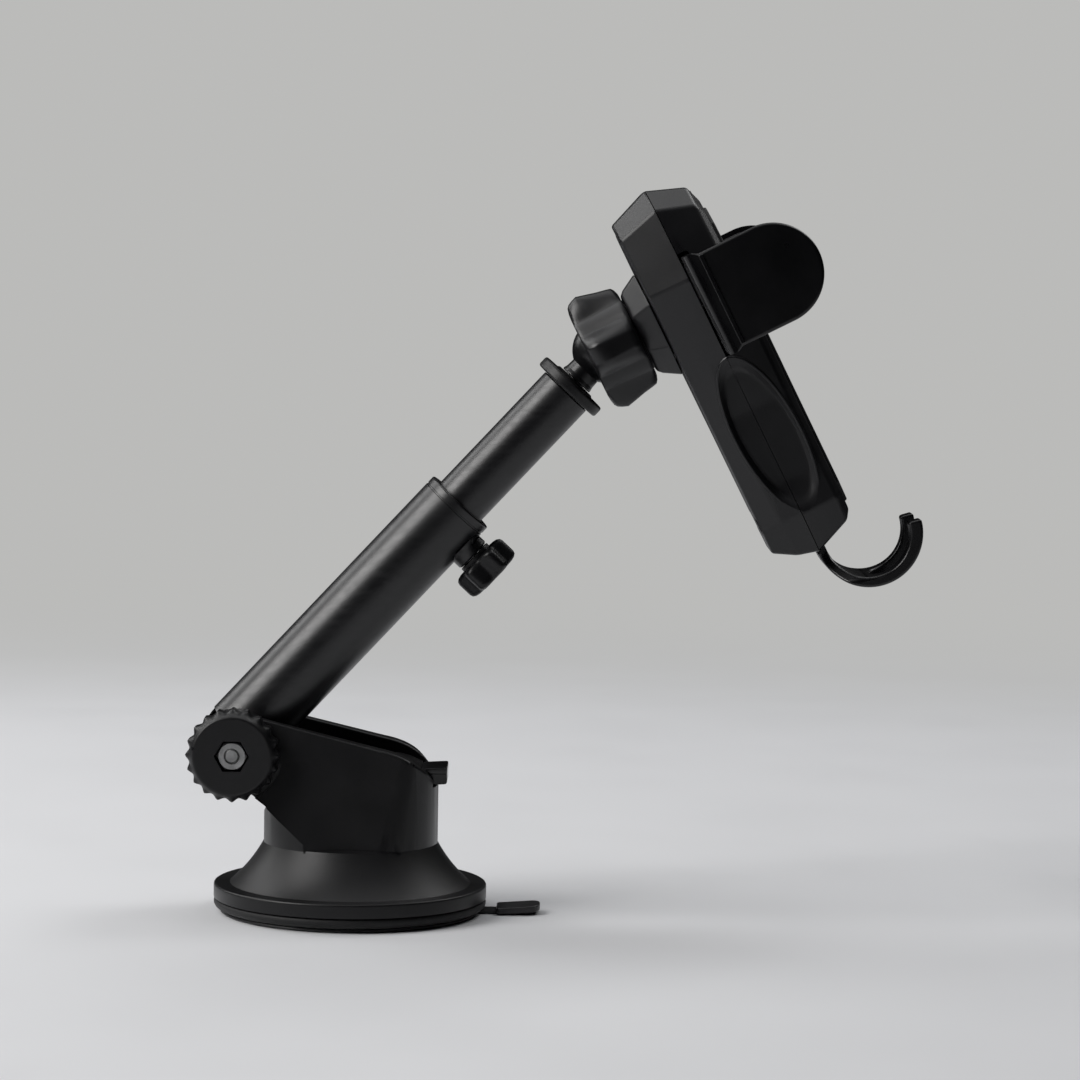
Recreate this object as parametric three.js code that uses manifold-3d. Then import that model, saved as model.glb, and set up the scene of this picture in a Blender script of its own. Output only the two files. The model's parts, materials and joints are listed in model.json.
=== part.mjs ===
// Phone mount with a suction base, a telescopic arm, a ball head and a gravity cradle.
// Millimetres, +Z up. The origin is on the base's axis, in the plane of the sticky pad's underside.
// +X is the side the arm leans to, and the pivot's knob is on the -Y side.

import * as THREE from 'three';
import { mergeVertices } from 'three/addons/utils/BufferGeometryUtils.js';
import Module from 'manifold-3d';

const wasm = await Module();
wasm.setup();

// ---------------------------------------------------------- driving dimensions

const GAP = 0.3;                 // between pieces that touch
const SLIP = 0.2;                // between pieces that slide or turn on each other
const WALL = 2;                  // of moulded shells

const BASE = {
  rimRadius: 36, rimBottom: 3.9, rimTop: 7.6,
  neckRadius: 23, neckBottom: 18.5,
  deckBottom: 21, deckTop: 24,
  cheekFoot: 20.3, cheekHead: 15.3,        // half widths outside the cheeks, at the neck and at the top
  cheekTop: 49.5, slotHalf: 11, slotStart: -19.4, slotEnd: 19.2,
  frontWallTop: 28, endWallTop: 32.8,
};
const PIVOT = { x: -29.8, z: 43.5, bossRadius: 11, bossFace: 16.6, boltRadius: 2 };
const LEVER = {
  x: 1.3, z: 30, pinRadius: 1.5, pinNear: -15.5, pinFar: 17,
  throw: 1.6, restTurn: 140, discRadius: 4.2, halfWidth: 10.3,
};
const KNOB = {
  back: 16.9, ridgeFront: 22, face: 24, radius: 12.2, faceRadius: 10.2,
  nutAcross: 7, pocketAcross: 7.9,
};

const ARM = {
  elevation: 47.3,                         // degrees above the horizontal
  axisOffset: 1.9,                         // the tubes' axis runs this far above the pivot
  outerRadius: 9.75, outerBore: 8.3, outerStart: 3, outerEnd: 87, eyeRadius: 9.9,
  innerRadius: 7.35, innerBore: 6.1, innerStart: 50, innerEnd: 127,
  capRadius: 9.95, capEnd: 130.7,
  screwAt: 79, bossRadius: 4.8, bossHeight: 12.15,
  ballAt: 141.8,
};
const BALL = { radius: 8.5, neckRadius: 4.3, shankRadius: 2.4 };

const CRADLE = {
  tilt: 27,                                // degrees that the cradle's front leans back
  back: 15.8, parting: 27.2, shoulder: 37.2, front: 38.9,
  travel: 13,                              // of the foot, and of each clamp arm
};
const NUT = {
  rear: -4.5, front: 9.5, rearRadius: 11.2, frontRadius: 11.8, wingRadius: 15.9, threadRadius: 9.8,
};
const HUB = { start: 9.8, neckRadius: 11.6, flareRadius: 15.6 };
const PADDLE = {
  inner: 44.5, outer: 47.3, radius: 12.8, centre: 45.8,
  plateBottom: 27.5, plateTop: 29.9, rootHalf: 13.5,
};
const SLIDER = { bottom: 30.2, top: 32.2, halfWidth: 14, pinRadius: 1.4 };
const HOOK = {
  x: 40.7, z: -72.4, outerRadius: 14, innerRadius: 11, sweep: 170,
  halfWidth: 14, prongGap: 8, stemHalf: 6,
};

// ---------------------------------------------------------- materials

function plastic(color, roughness = 0.55) {
  return new THREE.MeshStandardMaterial({ color, roughness, metalness: 0 });
}

function metal(color, roughness = 0.35) {
  return new THREE.MeshStandardMaterial({ color, roughness, metalness: 1 });
}

const COLOURS = {
  housing: 0x1c1c1f, satin: 0x232327, gloss: 0x141416, rubber: 0x101011, steel: 0x9a9a9c, brass: 0xa8894a,
};

// ---------------------------------------------------------- solids

function solidFrom(geometry) {
  const bare = new THREE.BufferGeometry();
  bare.setAttribute('position', geometry.getAttribute('position'));
  bare.setIndex(geometry.getIndex());
  const merged = mergeVertices(bare, 1e-4);
  const index = merged.getIndex().array;
  const triangles = [];
  for (let i = 0; i < index.length; i += 3) {
    const [a, b, c] = [index[i], index[i + 1], index[i + 2]];
    if (a !== b && b !== c && c !== a) triangles.push([a, b, c]);
  }
  const vertProperties = Float32Array.from(merged.getAttribute('position').array);
  const build = (list) => new wasm.Manifold(
    new wasm.Mesh({ numProp: 3, vertProperties, triVerts: Uint32Array.from(list.flat()) }));
  const solid = build(triangles);
  return solid.volume() > 0 ? solid : build(triangles.map(([a, b, c]) => [a, c, b]));
}

// Sends a geometry's x, y and z to the axes named in order, such as 'yzx'.
function remap(geometry, order) {
  const position = geometry.getAttribute('position');
  const to = [...order].map((letter) => 'xyz'.indexOf(letter));
  for (let i = 0; i < position.count; i += 1) {
    const from = [position.getX(i), position.getY(i), position.getZ(i)];
    const moved = [0, 0, 0];
    to.forEach((axis, k) => { moved[axis] = from[k]; });
    position.setXYZ(i, ...moved);
  }
  return geometry;
}

const EXTRUDE_ORDER = { x: 'yzx', y: 'xzy', z: 'xyz' };
const LATHE_ORDER = { x: 'yxz', y: 'xyz', z: 'xzy' };

// An outline in the plane across the axis, given in the other two axes' order, pulled along the axis.
function prism(axis, outline, from, to) {
  const shape = new THREE.Shape(outline.map(([a, b]) => new THREE.Vector2(a, b)));
  const geometry = new THREE.ExtrudeGeometry(shape, { depth: to - from, bevelEnabled: false });
  geometry.translate(0, 0, from);
  return solidFrom(remap(geometry, EXTRUDE_ORDER[axis]));
}

// A profile of [radius, height] pairs turned about an axis.
function turned(axis, profile, segments = 32) {
  const points = profile.map(([radius, height]) => new THREE.Vector2(radius, height));
  return solidFrom(remap(new THREE.LatheGeometry(points, segments), LATHE_ORDER[axis]));
}

function rod(axis, radius, from, to, centre = [0, 0, 0], segments = 16) {
  return turned(axis, [[0, from], [radius, from], [radius, to], [0, to]], segments).translate(centre);
}

function ring(axis, [inner, outer], [from, to], segments) {
  return turned(axis, [[inner, from], [outer, from], [outer, to], [inner, to], [inner, from]], segments);
}

function block(x, y, z) {
  const geometry = new THREE.BoxGeometry(x[1] - x[0], y[1] - y[0], z[1] - z[0]);
  geometry.translate((x[0] + x[1]) / 2, (y[0] + y[1]) / 2, (z[0] + z[1]) / 2);
  return solidFrom(geometry);
}

// Joins clockwise outlines of equal length, each [[y, z], ...] at its own x, or at an x for each point.
function loft(sections) {
  const count = sections[0].outline.length;
  const positions = sections.flatMap(({ x, outline }) => (
    outline.flatMap(([y, z], i) => [Array.isArray(x) ? x[i] : x, y, z])));
  const faces = [];
  for (let s = 0; s + 1 < sections.length; s += 1) {
    for (let i = 0; i < count; i += 1) {
      const [a, b] = [s * count + i, s * count + (i + 1) % count];
      faces.push(a, b + count, b, a, a + count, b + count);
    }
  }
  const last = (sections.length - 1) * count;
  capFaces(sections[0].outline).forEach(([a, b, c]) => faces.push(a, b, c));
  capFaces(sections.at(-1).outline).forEach(([a, b, c]) => faces.push(last + a, last + c, last + b));
  const geometry = new THREE.BufferGeometry();
  geometry.setAttribute('position', new THREE.Float32BufferAttribute(positions, 3));
  geometry.setIndex(faces);
  return solidFrom(geometry);
}

// An outline's triangles, all clockwise as the outline is.
function capFaces(outline) {
  const points = outline.map(([y, z]) => new THREE.Vector2(y, z));
  return THREE.ShapeUtils.triangulateShape(points, []).map(([a, b, c]) => (
    THREE.ShapeUtils.area([points[a], points[b], points[c]]) > 0 ? [a, c, b] : [a, b, c]));
}

const radians = THREE.MathUtils.degToRad;

function circle(radius, centre = [0, 0], count = 24, from = 0, to = 360) {
  const steps = to - from === 360 ? count - 1 : count;
  const angles = Array.from({ length: steps + 1 }, (_, i) => radians(from + (to - from) * i / count));
  return angles.map((a) => [centre[0] + radius * Math.cos(a), centre[1] + radius * Math.sin(a)]);
}

// An outline whose radius is a function of the angle.
function polar(radiusAt, count) {
  return Array.from({ length: count }, (_, i) => {
    const angle = 2 * Math.PI * i / count;
    return [radiusAt(angle) * Math.cos(angle), radiusAt(angle) * Math.sin(angle)];
  });
}

const hexagon = (across) => circle(across / Math.sqrt(3), [0, 0], 6);

function union(...solids) {
  return solids.reduce((sum, solid) => sum.add(solid));
}

function cut(solid, ...tools) {
  return tools.reduce((rest, tool) => rest.subtract(tool), solid);
}

function piece(name, solid, material) {
  const { vertProperties, triVerts } = solid.getMesh();
  const geometry = new THREE.BufferGeometry();
  geometry.setAttribute('position', new THREE.Float32BufferAttribute(vertProperties, 3));
  geometry.setIndex(Array.from(triVerts));
  geometry.computeVertexNormals();
  const mesh = new THREE.Mesh(geometry, material);
  mesh.name = name;
  return mesh;
}

// ---------------------------------------------------------- base

// The turret's side view, from the neck up: round at the pivot, with a back that curves down to the neck.
function turretOutline() {
  const { neckRadius, neckBottom } = BASE;
  const pivotEnd = circle(PIVOT.bossRadius, [PIVOT.x, PIVOT.z], 10, 100, 290);
  return [
    [neckRadius, neckBottom], [neckRadius, 33], [21.6, 36.6], [18.2, 40.2], [14.8, 42.6], [10.6, 44.2],
    [-19, 49.2], [-25, 50.6], ...pivotEnd, [-20.3, 30.2],
    [-neckRadius + 0.4, 28.5], [-neckRadius + 0.4, neckBottom],
  ];
}

// The hard shell's half section: flange, cone and neck outside, cavity inside.
function skirt() {
  const outside = [
    [BASE.rimRadius, BASE.rimBottom], [BASE.rimRadius, BASE.rimTop - 0.4],
    [BASE.rimRadius - 0.4, BASE.rimTop], [31.6, BASE.rimTop], [31.5, 9], [30, 10.8], [26.4, 13.8],
    [23.6, 17], [BASE.neckRadius, BASE.neckBottom],
    [BASE.neckRadius, BASE.deckTop], [0, BASE.deckTop],
  ];
  const inside = [
    [0, BASE.deckBottom], [18, BASE.deckBottom], [20, 16.5], [28.5, 9.4], [34, 5.2], [34, BASE.rimBottom],
  ];
  return turned('z', [...inside, ...outside, inside[0]], 48);
}

function baseHousing() {
  const { neckBottom, cheekTop, cheekFoot, cheekHead } = BASE;
  const between = (z) => THREE.MathUtils.mapLinear(z, neckBottom, cheekTop, cheekFoot, cheekHead);
  const drafted = prism('x', [
    [-between(10), 10], [between(10), 10], [between(60), 60], [-between(60), 60],
  ], -60, 60);
  const beside = cut(block([-60, 60], [-40, 40], [neckBottom, 59]), drafted);
  const plate = prism('y', turretOutline(), -BASE.neckRadius, BASE.neckRadius);
  const drum = rod('z', BASE.neckRadius, 0, 60, [0, 0, 0], 48);
  const cheeks = prism('y', [
    [-60, 31], [-18, 27.5], [-9, neckBottom], [0, neckBottom], [0, 60], [-60, 60],
  ], -30, 30);
  const turret = plate.intersect(union(drum, cheeks));
  const bosses = rod('y', PIVOT.bossRadius, -PIVOT.bossFace, PIVOT.bossFace, [PIVOT.x, 0, PIVOT.z], 24);
  const knobSeats = [[-40, -PIVOT.bossFace], [PIVOT.bossFace, 40]].map(([from, to]) => (
    rod('y', KNOB.radius + 0.6, from, to, [PIVOT.x, 0, PIVOT.z], 28)));
  const slot = union(
    block([BASE.slotStart, BASE.slotEnd], [-BASE.slotHalf, BASE.slotHalf], [BASE.deckTop, 60]),
    block([-60, 0], [-BASE.slotHalf, BASE.slotHalf], [BASE.frontWallTop, 60]),
    block([0, 60], [-BASE.slotHalf, BASE.slotHalf], [BASE.endWallTop, 60]));
  const plungerHole = block([-7.4, 7.4], [-3.6, 3.6], [0, BASE.deckTop + 1]);
  const boltHole = rod('y', PIVOT.boltRadius + GAP, -30, 30, [PIVOT.x, 0, PIVOT.z]);
  const pinHole = rod('y', LEVER.pinRadius + GAP, LEVER.pinNear - GAP, 30, [LEVER.x, 0, LEVER.z]);
  const blank = union(cut(union(skirt(), turret), beside), bosses);
  return cut(blank, ...knobSeats, slot, plungerHole, boltHole, pinHole);
}

function suctionCup() {
  return turned('z', [
    [0, 1], [34.2, 1], [35.4, 1.7], [35.8, 2.7], [35.5, 3.6], [31, 3.6], [25, 2], [0, 2],
  ], 40);
}

function gelPad() {
  const tab = [
    [33, -3.2], [39, -3.2], [40, -5], [46.5, -5], ...circle(3.8, [46.5, -1.2], 6, -90, 0),
    ...circle(3.8, [46.5, 1.2], 6, 0, 90), [46.5, 5], [40, 5], [39, 3.2], [33, 3.2],
  ];
  return union(rod('z', 34.4, 0, 0.9, [0, 0, 0], 40), prism('z', tab, 0, 0.9));
}

// Centre of the cam disc, which stands off the lever's pin.
function camCentre() {
  const angle = radians(LEVER.restTurn);
  return [LEVER.x + LEVER.throw * Math.cos(angle), LEVER.z + LEVER.throw * Math.sin(angle)];
}

const STRAP_RADIUS = 8.2;        // trims the strap's corners, so that the lever clears them as it turns

// A stem with a slotted strap round the cam disc and a wide foot that pulls the cup.
function plunger() {
  const [, camZ] = camCentre();
  const reachX = LEVER.discRadius + 1.1;
  const reachZ = LEVER.discRadius + GAP + 0.1;
  const strap = block([-reachX - 1.6, reachX + 1.6], [-3, 3], [camZ - reachZ - 1.6, camZ + reachZ + 1.6])
    .intersect(rod('y', STRAP_RADIUS, -3, 3, [0, 0, camZ], 32));
  const window = block([-reachX, reachX], [-5, 5], [camZ - reachZ, camZ + reachZ]);
  const stem = block([-3.6, 3.6], [-3, 3], [5, camZ - reachZ - 1]);
  const foot = rod('z', 12, 4.6, 6.6, [0, 0, 0], 24);
  return cut(union(strap, stem, foot), window);
}

function lever() {
  const [camX, camZ] = camCentre();
  const hub = circle(5.4, [LEVER.x, LEVER.z], 12, 110, 300);
  const handle = [
    [6.5, 27.5], [14, 31], [19.5, 34.2], [21.6, 34.4], [25.2, 34.6], [25.4, 36.6], [25.2, 38.6], [21.5, 38.8],
    [19, 38], [15.5, 39.6], [9.5, 41], [0, 38.5], [-2.5, 36.5],
  ];
  const blank = prism('y', [...hub, ...handle], -LEVER.halfWidth, LEVER.halfWidth);
  const strapRoom = block([-9, 11.2], [-3.4, 3.4], [20, 39.3]);
  const handleTrim = union(block([20.5, 30], [7, 20], [20, 60]), block([20.5, 30], [-20, -7], [20, 60]));
  const disc = rod('y', LEVER.discRadius, -3.6, 3.6, [camX, 0, camZ], 24);
  const pinHole = rod('y', LEVER.pinRadius + 0.15, -30, 30, [LEVER.x, 0, LEVER.z]);
  return cut(union(cut(blank, strapRoom, handleTrim), disc), pinHole);
}

function leverPin() {
  return rod('y', LEVER.pinRadius, LEVER.pinNear, LEVER.pinFar, [LEVER.x, 0, LEVER.z]);
}

function knob() {
  const ridges = polar((angle) => KNOB.radius - 0.7 * Math.sin(10 * angle) ** 2, 80);
  const grip = prism('y', ridges, -KNOB.ridgeFront, -KNOB.back);
  const cap = turned('y', [
    [0, -KNOB.face], [KNOB.faceRadius, -KNOB.face],
    [KNOB.radius - 0.9, -KNOB.ridgeFront], [0, -KNOB.ridgeFront],
  ], 24);
  const pocket = prism('y', hexagon(KNOB.pocketAcross), -KNOB.face - 1, -19.6);
  const hole = rod('y', PIVOT.boltRadius + GAP, -30, 0);
  return cut(union(grip, cap), pocket, hole);
}

function nut() {
  return cut(prism('y', hexagon(KNOB.nutAcross), -23, -19.8), rod('y', PIVOT.boltRadius + 0.05, -30, 0));
}

function pivotBolt() {
  const shank = rod('y', PIVOT.boltRadius, -22.6, 17);
  const head = prism('y', hexagon(KNOB.nutAcross), PIVOT.bossFace + 0.1, PIVOT.bossFace + 2.9);
  return union(shank, head);
}

function frictionWasher(side) {
  const [near, far] = [ARM.outerRadius + 0.3, BASE.slotHalf - 0.3];
  return ring('y', [2.4, 8.5], [side * near, side * far], 20);
}

// ---------------------------------------------------------- arm, along its own +X from the pivot

const onAxis = [0, 0, ARM.axisOffset];

function outerTube() {
  const { outerRadius, outerStart, outerEnd, outerBore, eyeRadius, screwAt, bossRadius, bossHeight } = ARM;
  const tube = turned('x', [
    [0, outerStart], [outerRadius, outerStart], [outerRadius, outerEnd - 0.5],
    [outerRadius - 0.5, outerEnd], [0, outerEnd],
  ], 32).translate(onAxis);
  const eye = rod('y', eyeRadius, -outerRadius, outerRadius, [0, 0, 0], 28);
  const boss = rod('z', bossRadius, ARM.axisOffset - bossHeight, ARM.axisOffset - 8.6, [screwAt, 0, 0]);
  const bore = rod('x', outerBore, eyeRadius + 1.6, outerEnd + 1, onAxis, 28);
  const boltHole = rod('y', PIVOT.boltRadius + GAP, -20, 20);
  const insertHole = rod('z', 3.3, -15, 0, [screwAt, 0, 0], 14);
  return cut(union(tube, eye, boss), bore, boltHole, insertHole);
}

function tubeBushing() {
  const sleeve = ring('x', [7.55, 8.15], [68, 86.6], 28).translate(onAxis);
  return cut(sleeve, rod('z', 2.4, -15, 0, [ARM.screwAt, 0, 0], 10));
}

function clampInsert() {
  const [low, high] = [ARM.axisOffset - 12, ARM.axisOffset - 8.9];
  return ring('z', [2.1, 3.1], [low, high], 14).translate([ARM.screwAt, 0, 0]);
}

function clampScrew() {
  return rod('z', 1.9, ARM.axisOffset - 18, ARM.axisOffset - ARM.innerRadius - 0.15, [ARM.screwAt, 0, 0], 14);
}

function thumbKnob() {
  const [top, bottom] = [ARM.axisOffset - ARM.bossHeight - 0.25, ARM.axisOffset - 20.4];
  const lobes = polar((angle) => 7.1 + 1.1 * Math.cos(6 * angle), 48);
  const head = prism('z', lobes, bottom, top - 1);
  const collar = rod('z', 4.8, top - 1.1, top);
  const bore = rod('z', 2, bottom + 2, top + 1, [0, 0, 0], 14);
  return cut(union(head, collar), bore).translate([ARM.screwAt, 0, 0]);
}

function innerTube() {
  const { innerRadius, innerBore, innerStart, innerEnd } = ARM;
  return ring('x', [innerBore, innerRadius], [innerStart, innerEnd], 28).translate(onAxis);
}

function endCap() {
  const { capRadius, capEnd, innerEnd } = ARM;
  return turned('x', [
    [2.7, innerEnd - 8], [5.9, innerEnd - 8], [5.9, innerEnd + 0.2], [capRadius - 0.5, innerEnd + 0.2],
    [capRadius, innerEnd + 0.7], [capRadius, capEnd - 0.5], [capRadius - 0.5, capEnd], [2.7, capEnd],
    [2.7, innerEnd - 8],
  ], 28).translate(onAxis);
}

function ballStud() {
  const start = Math.asin(BALL.neckRadius / BALL.radius);
  const steps = 9;
  const sphere = Array.from({ length: steps }, (_, i) => {
    const angle = (Math.PI - start) * (1 - i / steps);
    return [BALL.radius * Math.sin(angle), ARM.ballAt + BALL.radius * Math.cos(angle)];
  });
  return turned('x', [
    [0, 121], [BALL.shankRadius, 121], [BALL.shankRadius, 130.9], [BALL.neckRadius, 130.9], ...sphere,
    [0, ARM.ballAt + BALL.radius],
  ], 24).translate(onAxis);
}

// ---------------------------------------------------------- ball head, along the cradle's +X from the ball

function ballLiner() {
  const inside = (x) => Math.sqrt((BALL.radius + SLIP + 0.05) ** 2 - x * x);
  const places = [-3.2, -1.7, -0.2];
  const profile = [[9.7, -0.2], [9.7, -3.2], ...places.map((x) => [inside(x), x])];
  return turned('x', [...profile, profile[0]], 24);
}

function ballSocket() {
  const seat = BALL.radius + SLIP + 0.05;
  const steps = 5;
  const bowl = Array.from({ length: steps }, (_, i) => {
    const angle = (Math.PI / 2) * (1 - i / steps);
    return [seat * Math.sin(angle), 0.1 + seat * Math.cos(angle)];
  });
  const collar = turned('x', [
    ...bowl, [0, 0.1 + seat], [0, 14], [NUT.threadRadius, 14], [NUT.threadRadius, 0.1], bowl[0],
  ], 24);
  const cone = turned('x', [
    [0, HUB.start], [HUB.neckRadius, HUB.start], [12.8, 11],
    [HUB.flareRadius, CRADLE.back - GAP], [0, CRADLE.back - GAP],
  ], 8).rotate([22.5, 0, 0]);
  const holes = hubScrewPlaces().map(([y, z]) => rod('x', 1.4, 11.5, 20, [0, y, z], 8));
  const room = rod('x', 9.2, 0, 14, [0, 0, 0], 24);
  return cut(union(collar, cut(cone, room)), ...holes);
}

const hubScrewPlaces = () => circle(10, [0, 0], 3);

function ringNut() {
  const body = turned('x', [
    [8.1, NUT.rear], [NUT.rearRadius - 0.5, NUT.rear], [NUT.rearRadius, NUT.rear + 0.5],
    [NUT.frontRadius, NUT.front - 0.4], [NUT.frontRadius - 0.4, NUT.front], [10.1, NUT.front],
    [10.1, -3.5], [8.1, -3.5], [8.1, NUT.rear],
  ], 24);
  const side = [[-3.9, 0], [-3.6, 14.4], [-0.8, NUT.wingRadius], [8.4, 13.9], [9.2, 12.4], [9.2, 0]];
  const wing = prism('y', side, -4.6, 4.6);
  const wings = [0, 90, 180, 270].map((turn) => wing.rotate([turn, 0, 0]));
  const bore = rod('x', 10.1, -3.5, 20, [0, 0, 0], 24);
  const mouth = rod('x', 8.1, -10, 0, [0, 0, 0], 24);
  return cut(union(body, ...wings), bore, mouth);
}

// ---------------------------------------------------------- cradle, in the ball's frame: +X to the front

// Half outlines as [height, half width], from the top end to the tail, mirrored into [[y, z], ...].
function mirrored(half) {
  return [...half.map(([z, y]) => [y, z]), ...half.map(([z, y]) => [-y, z]).reverse()];
}

const HALF = {
  back: [[28.3, 9], [23.8, 15], [7.4, 19.6], [-15, 15.6], [-30, 13.6], [-60, 12.6], [-66.4, 9.6]],
  flank: [[32.4, 12.3], [26.8, 18.8], [7.4, 23.6], [-15, 18.9], [-30, 16.9], [-60, 15.6], [-69.6, 11.3]],
  parting: [[32.6, 12.5], [27, 19], [7.4, 24], [-15, 20.4], [-30, 18.2], [-60, 16.8], [-71, 12]],
  shoulder: [[28.9, 11.5], [23.8, 17.4], [7.4, 22], [-15, 18.6], [-30, 16.6], [-60, 15.2], [-67, 11]],
  front: [[24.2, 10.4], [19.8, 15.6], [7.2, 19.8], [-15, 16.6], [-30, 14.8], [-59, 13.4], [-64.6, 9.8]],
};
// The edge between the bevelled back and the side walls: by the parting line on the head, lower on the tail.
const FLANK_X = [26.4, 26.4, 26.2, 22.3, 20.8, 21.2, 21.6];
const shrunk = (half, by) => half.map(([z, y], i) => {
  const end = i < 2 ? -by : i > half.length - 3 ? by : 0;
  return [z + end, y - by];
});

function backShell() {
  const outer = loft([
    { x: CRADLE.back, outline: mirrored(HALF.back) },
    { x: [...FLANK_X, ...FLANK_X.toReversed()], outline: mirrored(HALF.flank) },
    { x: CRADLE.parting - 0.15, outline: mirrored(HALF.parting) },
  ]);
  const hollow = loft([
    { x: CRADLE.back + WALL, outline: mirrored(shrunk(HALF.back, 1.4)) },
    { x: CRADLE.parting + 0.1, outline: mirrored(shrunk(HALF.parting, WALL)) },
  ]);
  const bosses = shellScrewPlaces().map(([y, z]) => (
    rod('x', 3.2, CRADLE.back + 1, CRADLE.parting - 0.15, [0, y, z], 10).intersect(outer)));
  const holes = shellScrewPlaces().map(([y, z]) => union(
    rod('x', 1.75, 10, 40, [0, y, z], 10), rod('x', 2.9, 10, CRADLE.back + 3.4, [0, y, z], 12)));
  const hubHoles = hubScrewPlaces().map(([y, z]) => rod('x', 1.6, 10, 20, [0, y, z], 8));
  return cut(union(cut(outer, hollow), ...bosses), ...holes, ...hubHoles, stemSlot());
}

const shellScrewPlaces = () => [[9, 24.6], [-9, 24.6], [9.8, -58], [-9.8, -58]];

function frontShell() {
  const outer = loft([
    { x: CRADLE.parting + 0.15, outline: mirrored(HALF.parting) },
    { x: CRADLE.shoulder, outline: mirrored(HALF.shoulder) },
    { x: CRADLE.front, outline: mirrored(HALF.front) },
  ]);
  const hollow = loft([
    { x: CRADLE.parting, outline: mirrored(shrunk(HALF.parting, WALL)) },
    { x: CRADLE.front - WALL, outline: mirrored(shrunk(HALF.shoulder, WALL + 0.6)) },
  ]);
  const posts = shellScrewPlaces().map(([y, z]) => (
    rod('x', 3, CRADLE.parting + 0.15, CRADLE.front - 1, [0, y, z], 10).intersect(outer)));
  const holes = shellScrewPlaces().map(([y, z]) => rod('x', 1.6, 20, 35.5, [0, y, z], 10));
  const armSlot = block([20, PADDLE.plateTop + GAP], [-40, 40], [-PADDLE.rootHalf - 1, PADDLE.rootHalf + 1]);
  return cut(union(cut(outer, hollow), ...posts), ...holes, armSlot, stemSlot());
}

// Where the foot's stem leaves the tail, across the parting line.
const stemSlot = () => block([26.4, 30], [-HOOK.stemHalf - GAP, HOOK.stemHalf + GAP], [-80, -60]);

function frontPad() {
  return loft([
    { x: CRADLE.front + 0.05, outline: mirrored(shrunk(HALF.front, 2)) },
    { x: CRADLE.front + 0.8, outline: mirrored(shrunk(HALF.front, 2.4)) },
  ]);
}

function shellScrew([y, z]) {
  const head = rod('x', 2.6, CRADLE.back + 1.6, CRADLE.back + 3.2, [0, y, z], 12);
  return union(head, rod('x', 1.4, CRADLE.back + 3.1, 34.5, [0, y, z], 10));
}

function hubScrew([y, z]) {
  return union(rod('x', 1.2, 12.5, 18.1, [0, y, z], 8), rod('x', 2.3, 18, 19.4, [0, y, z], 10));
}

// A coil from the back shell to the foot's stem, behind the clamp arms.
function returnSpring() {
  const [turns, coilRadius, wire, top, bottom] = [6, 2.4, 0.4, -16, -40];
  class Helix extends THREE.Curve {
    getPoint(t, target = new THREE.Vector3()) {
      const angle = 2 * Math.PI * turns * t;
      const [across, along] = [coilRadius * Math.cos(angle), coilRadius * Math.sin(angle)];
      return target.set(22.4 + across, along, top + (bottom - top) * t);
    }
  }
  const section = new THREE.Shape(circle(wire, [0, 0], 4).map(([a, b]) => new THREE.Vector2(a, b)));
  const options = { steps: turns * 8, extrudePath: new Helix(), bevelEnabled: false };
  return solidFrom(new THREE.ExtrudeGeometry(section, options));
}

// side is -1 for the near arm and +1 for the far one. Each tongue reaches past the middle, above or below it.
function clampArm(side) {
  const { inner, outer, radius, centre, plateBottom, plateTop, rootHalf } = PADDLE;
  const span = (from, to) => [Math.min(side * from, side * to), Math.max(side * from, side * to)];
  const tongueMiddle = -side * 6.5;
  const tongue = block([plateBottom, plateTop], span(-1, 28), [tongueMiddle - 5, tongueMiddle + 5]);
  const plate = block([plateBottom, plateTop], span(27.6, outer), [-rootHalf, rootHalf]);
  const dShape = [[plateBottom, -radius], ...circle(radius, [centre, 0], 16, -90, 90), [plateBottom, radius]];
  const paddle = prism('y', dShape, ...span(inner, outer));
  const pin = rod('x', SLIDER.pinRadius, plateTop - 0.5, SLIDER.top - 0.1, [0, side * 11, tongueMiddle], 10);
  return union(tongue, plate, paddle, pin);
}

function armPad(side) {
  const { inner, radius, centre } = PADDLE;
  const reach = radius - 1.4;
  const outline = [[33, -reach], ...circle(reach, [centre, 0], 12, -90, 90), [33, reach]];
  const [from, to] = [side * (inner - 0.05), side * (inner - 1)].sort((a, b) => a - b);
  return prism('y', outline, from, to);
}

// Slots at 45 degrees: as the plate goes down by the travel, each pin is drawn inwards by as much.
function sliderPlate() {
  const w = SLIDER.halfWidth;
  const head = [[-w, -12], [w, -12], [w, 10], [5.5, 22.6], [-2, 22.6], [-w, 10.8]];
  const plate = union(
    prism('x', head, SLIDER.bottom, SLIDER.top),
    block([SLIDER.bottom, SLIDER.top], [-5.5, 5.5], [-52.4, -11]));
  const half = SLIDER.pinRadius + SLIP;
  const slots = [-1, 1].map((side) => {
    const [y, z] = [side * 11, -side * 6.5];
    const length = CRADLE.travel * Math.SQRT2;
    const outline = [...circle(half, [length, 0], 5, -90, 90), ...circle(half, [0, 0], 5, 90, 270)];
    const lean = side < 0 ? 45 : 135;
    return prism('x', outline, 20, 40).rotate([lean, 0, 0]).translate([0, y, z]);
  });
  const screwHoles = footScrewPlaces().map((z) => rod('x', 1.3, 20, 40, [0, 0, z], 8));
  return cut(plate, ...slots, ...screwHoles);
}

const footScrewPlaces = () => [-37, -49];

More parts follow.
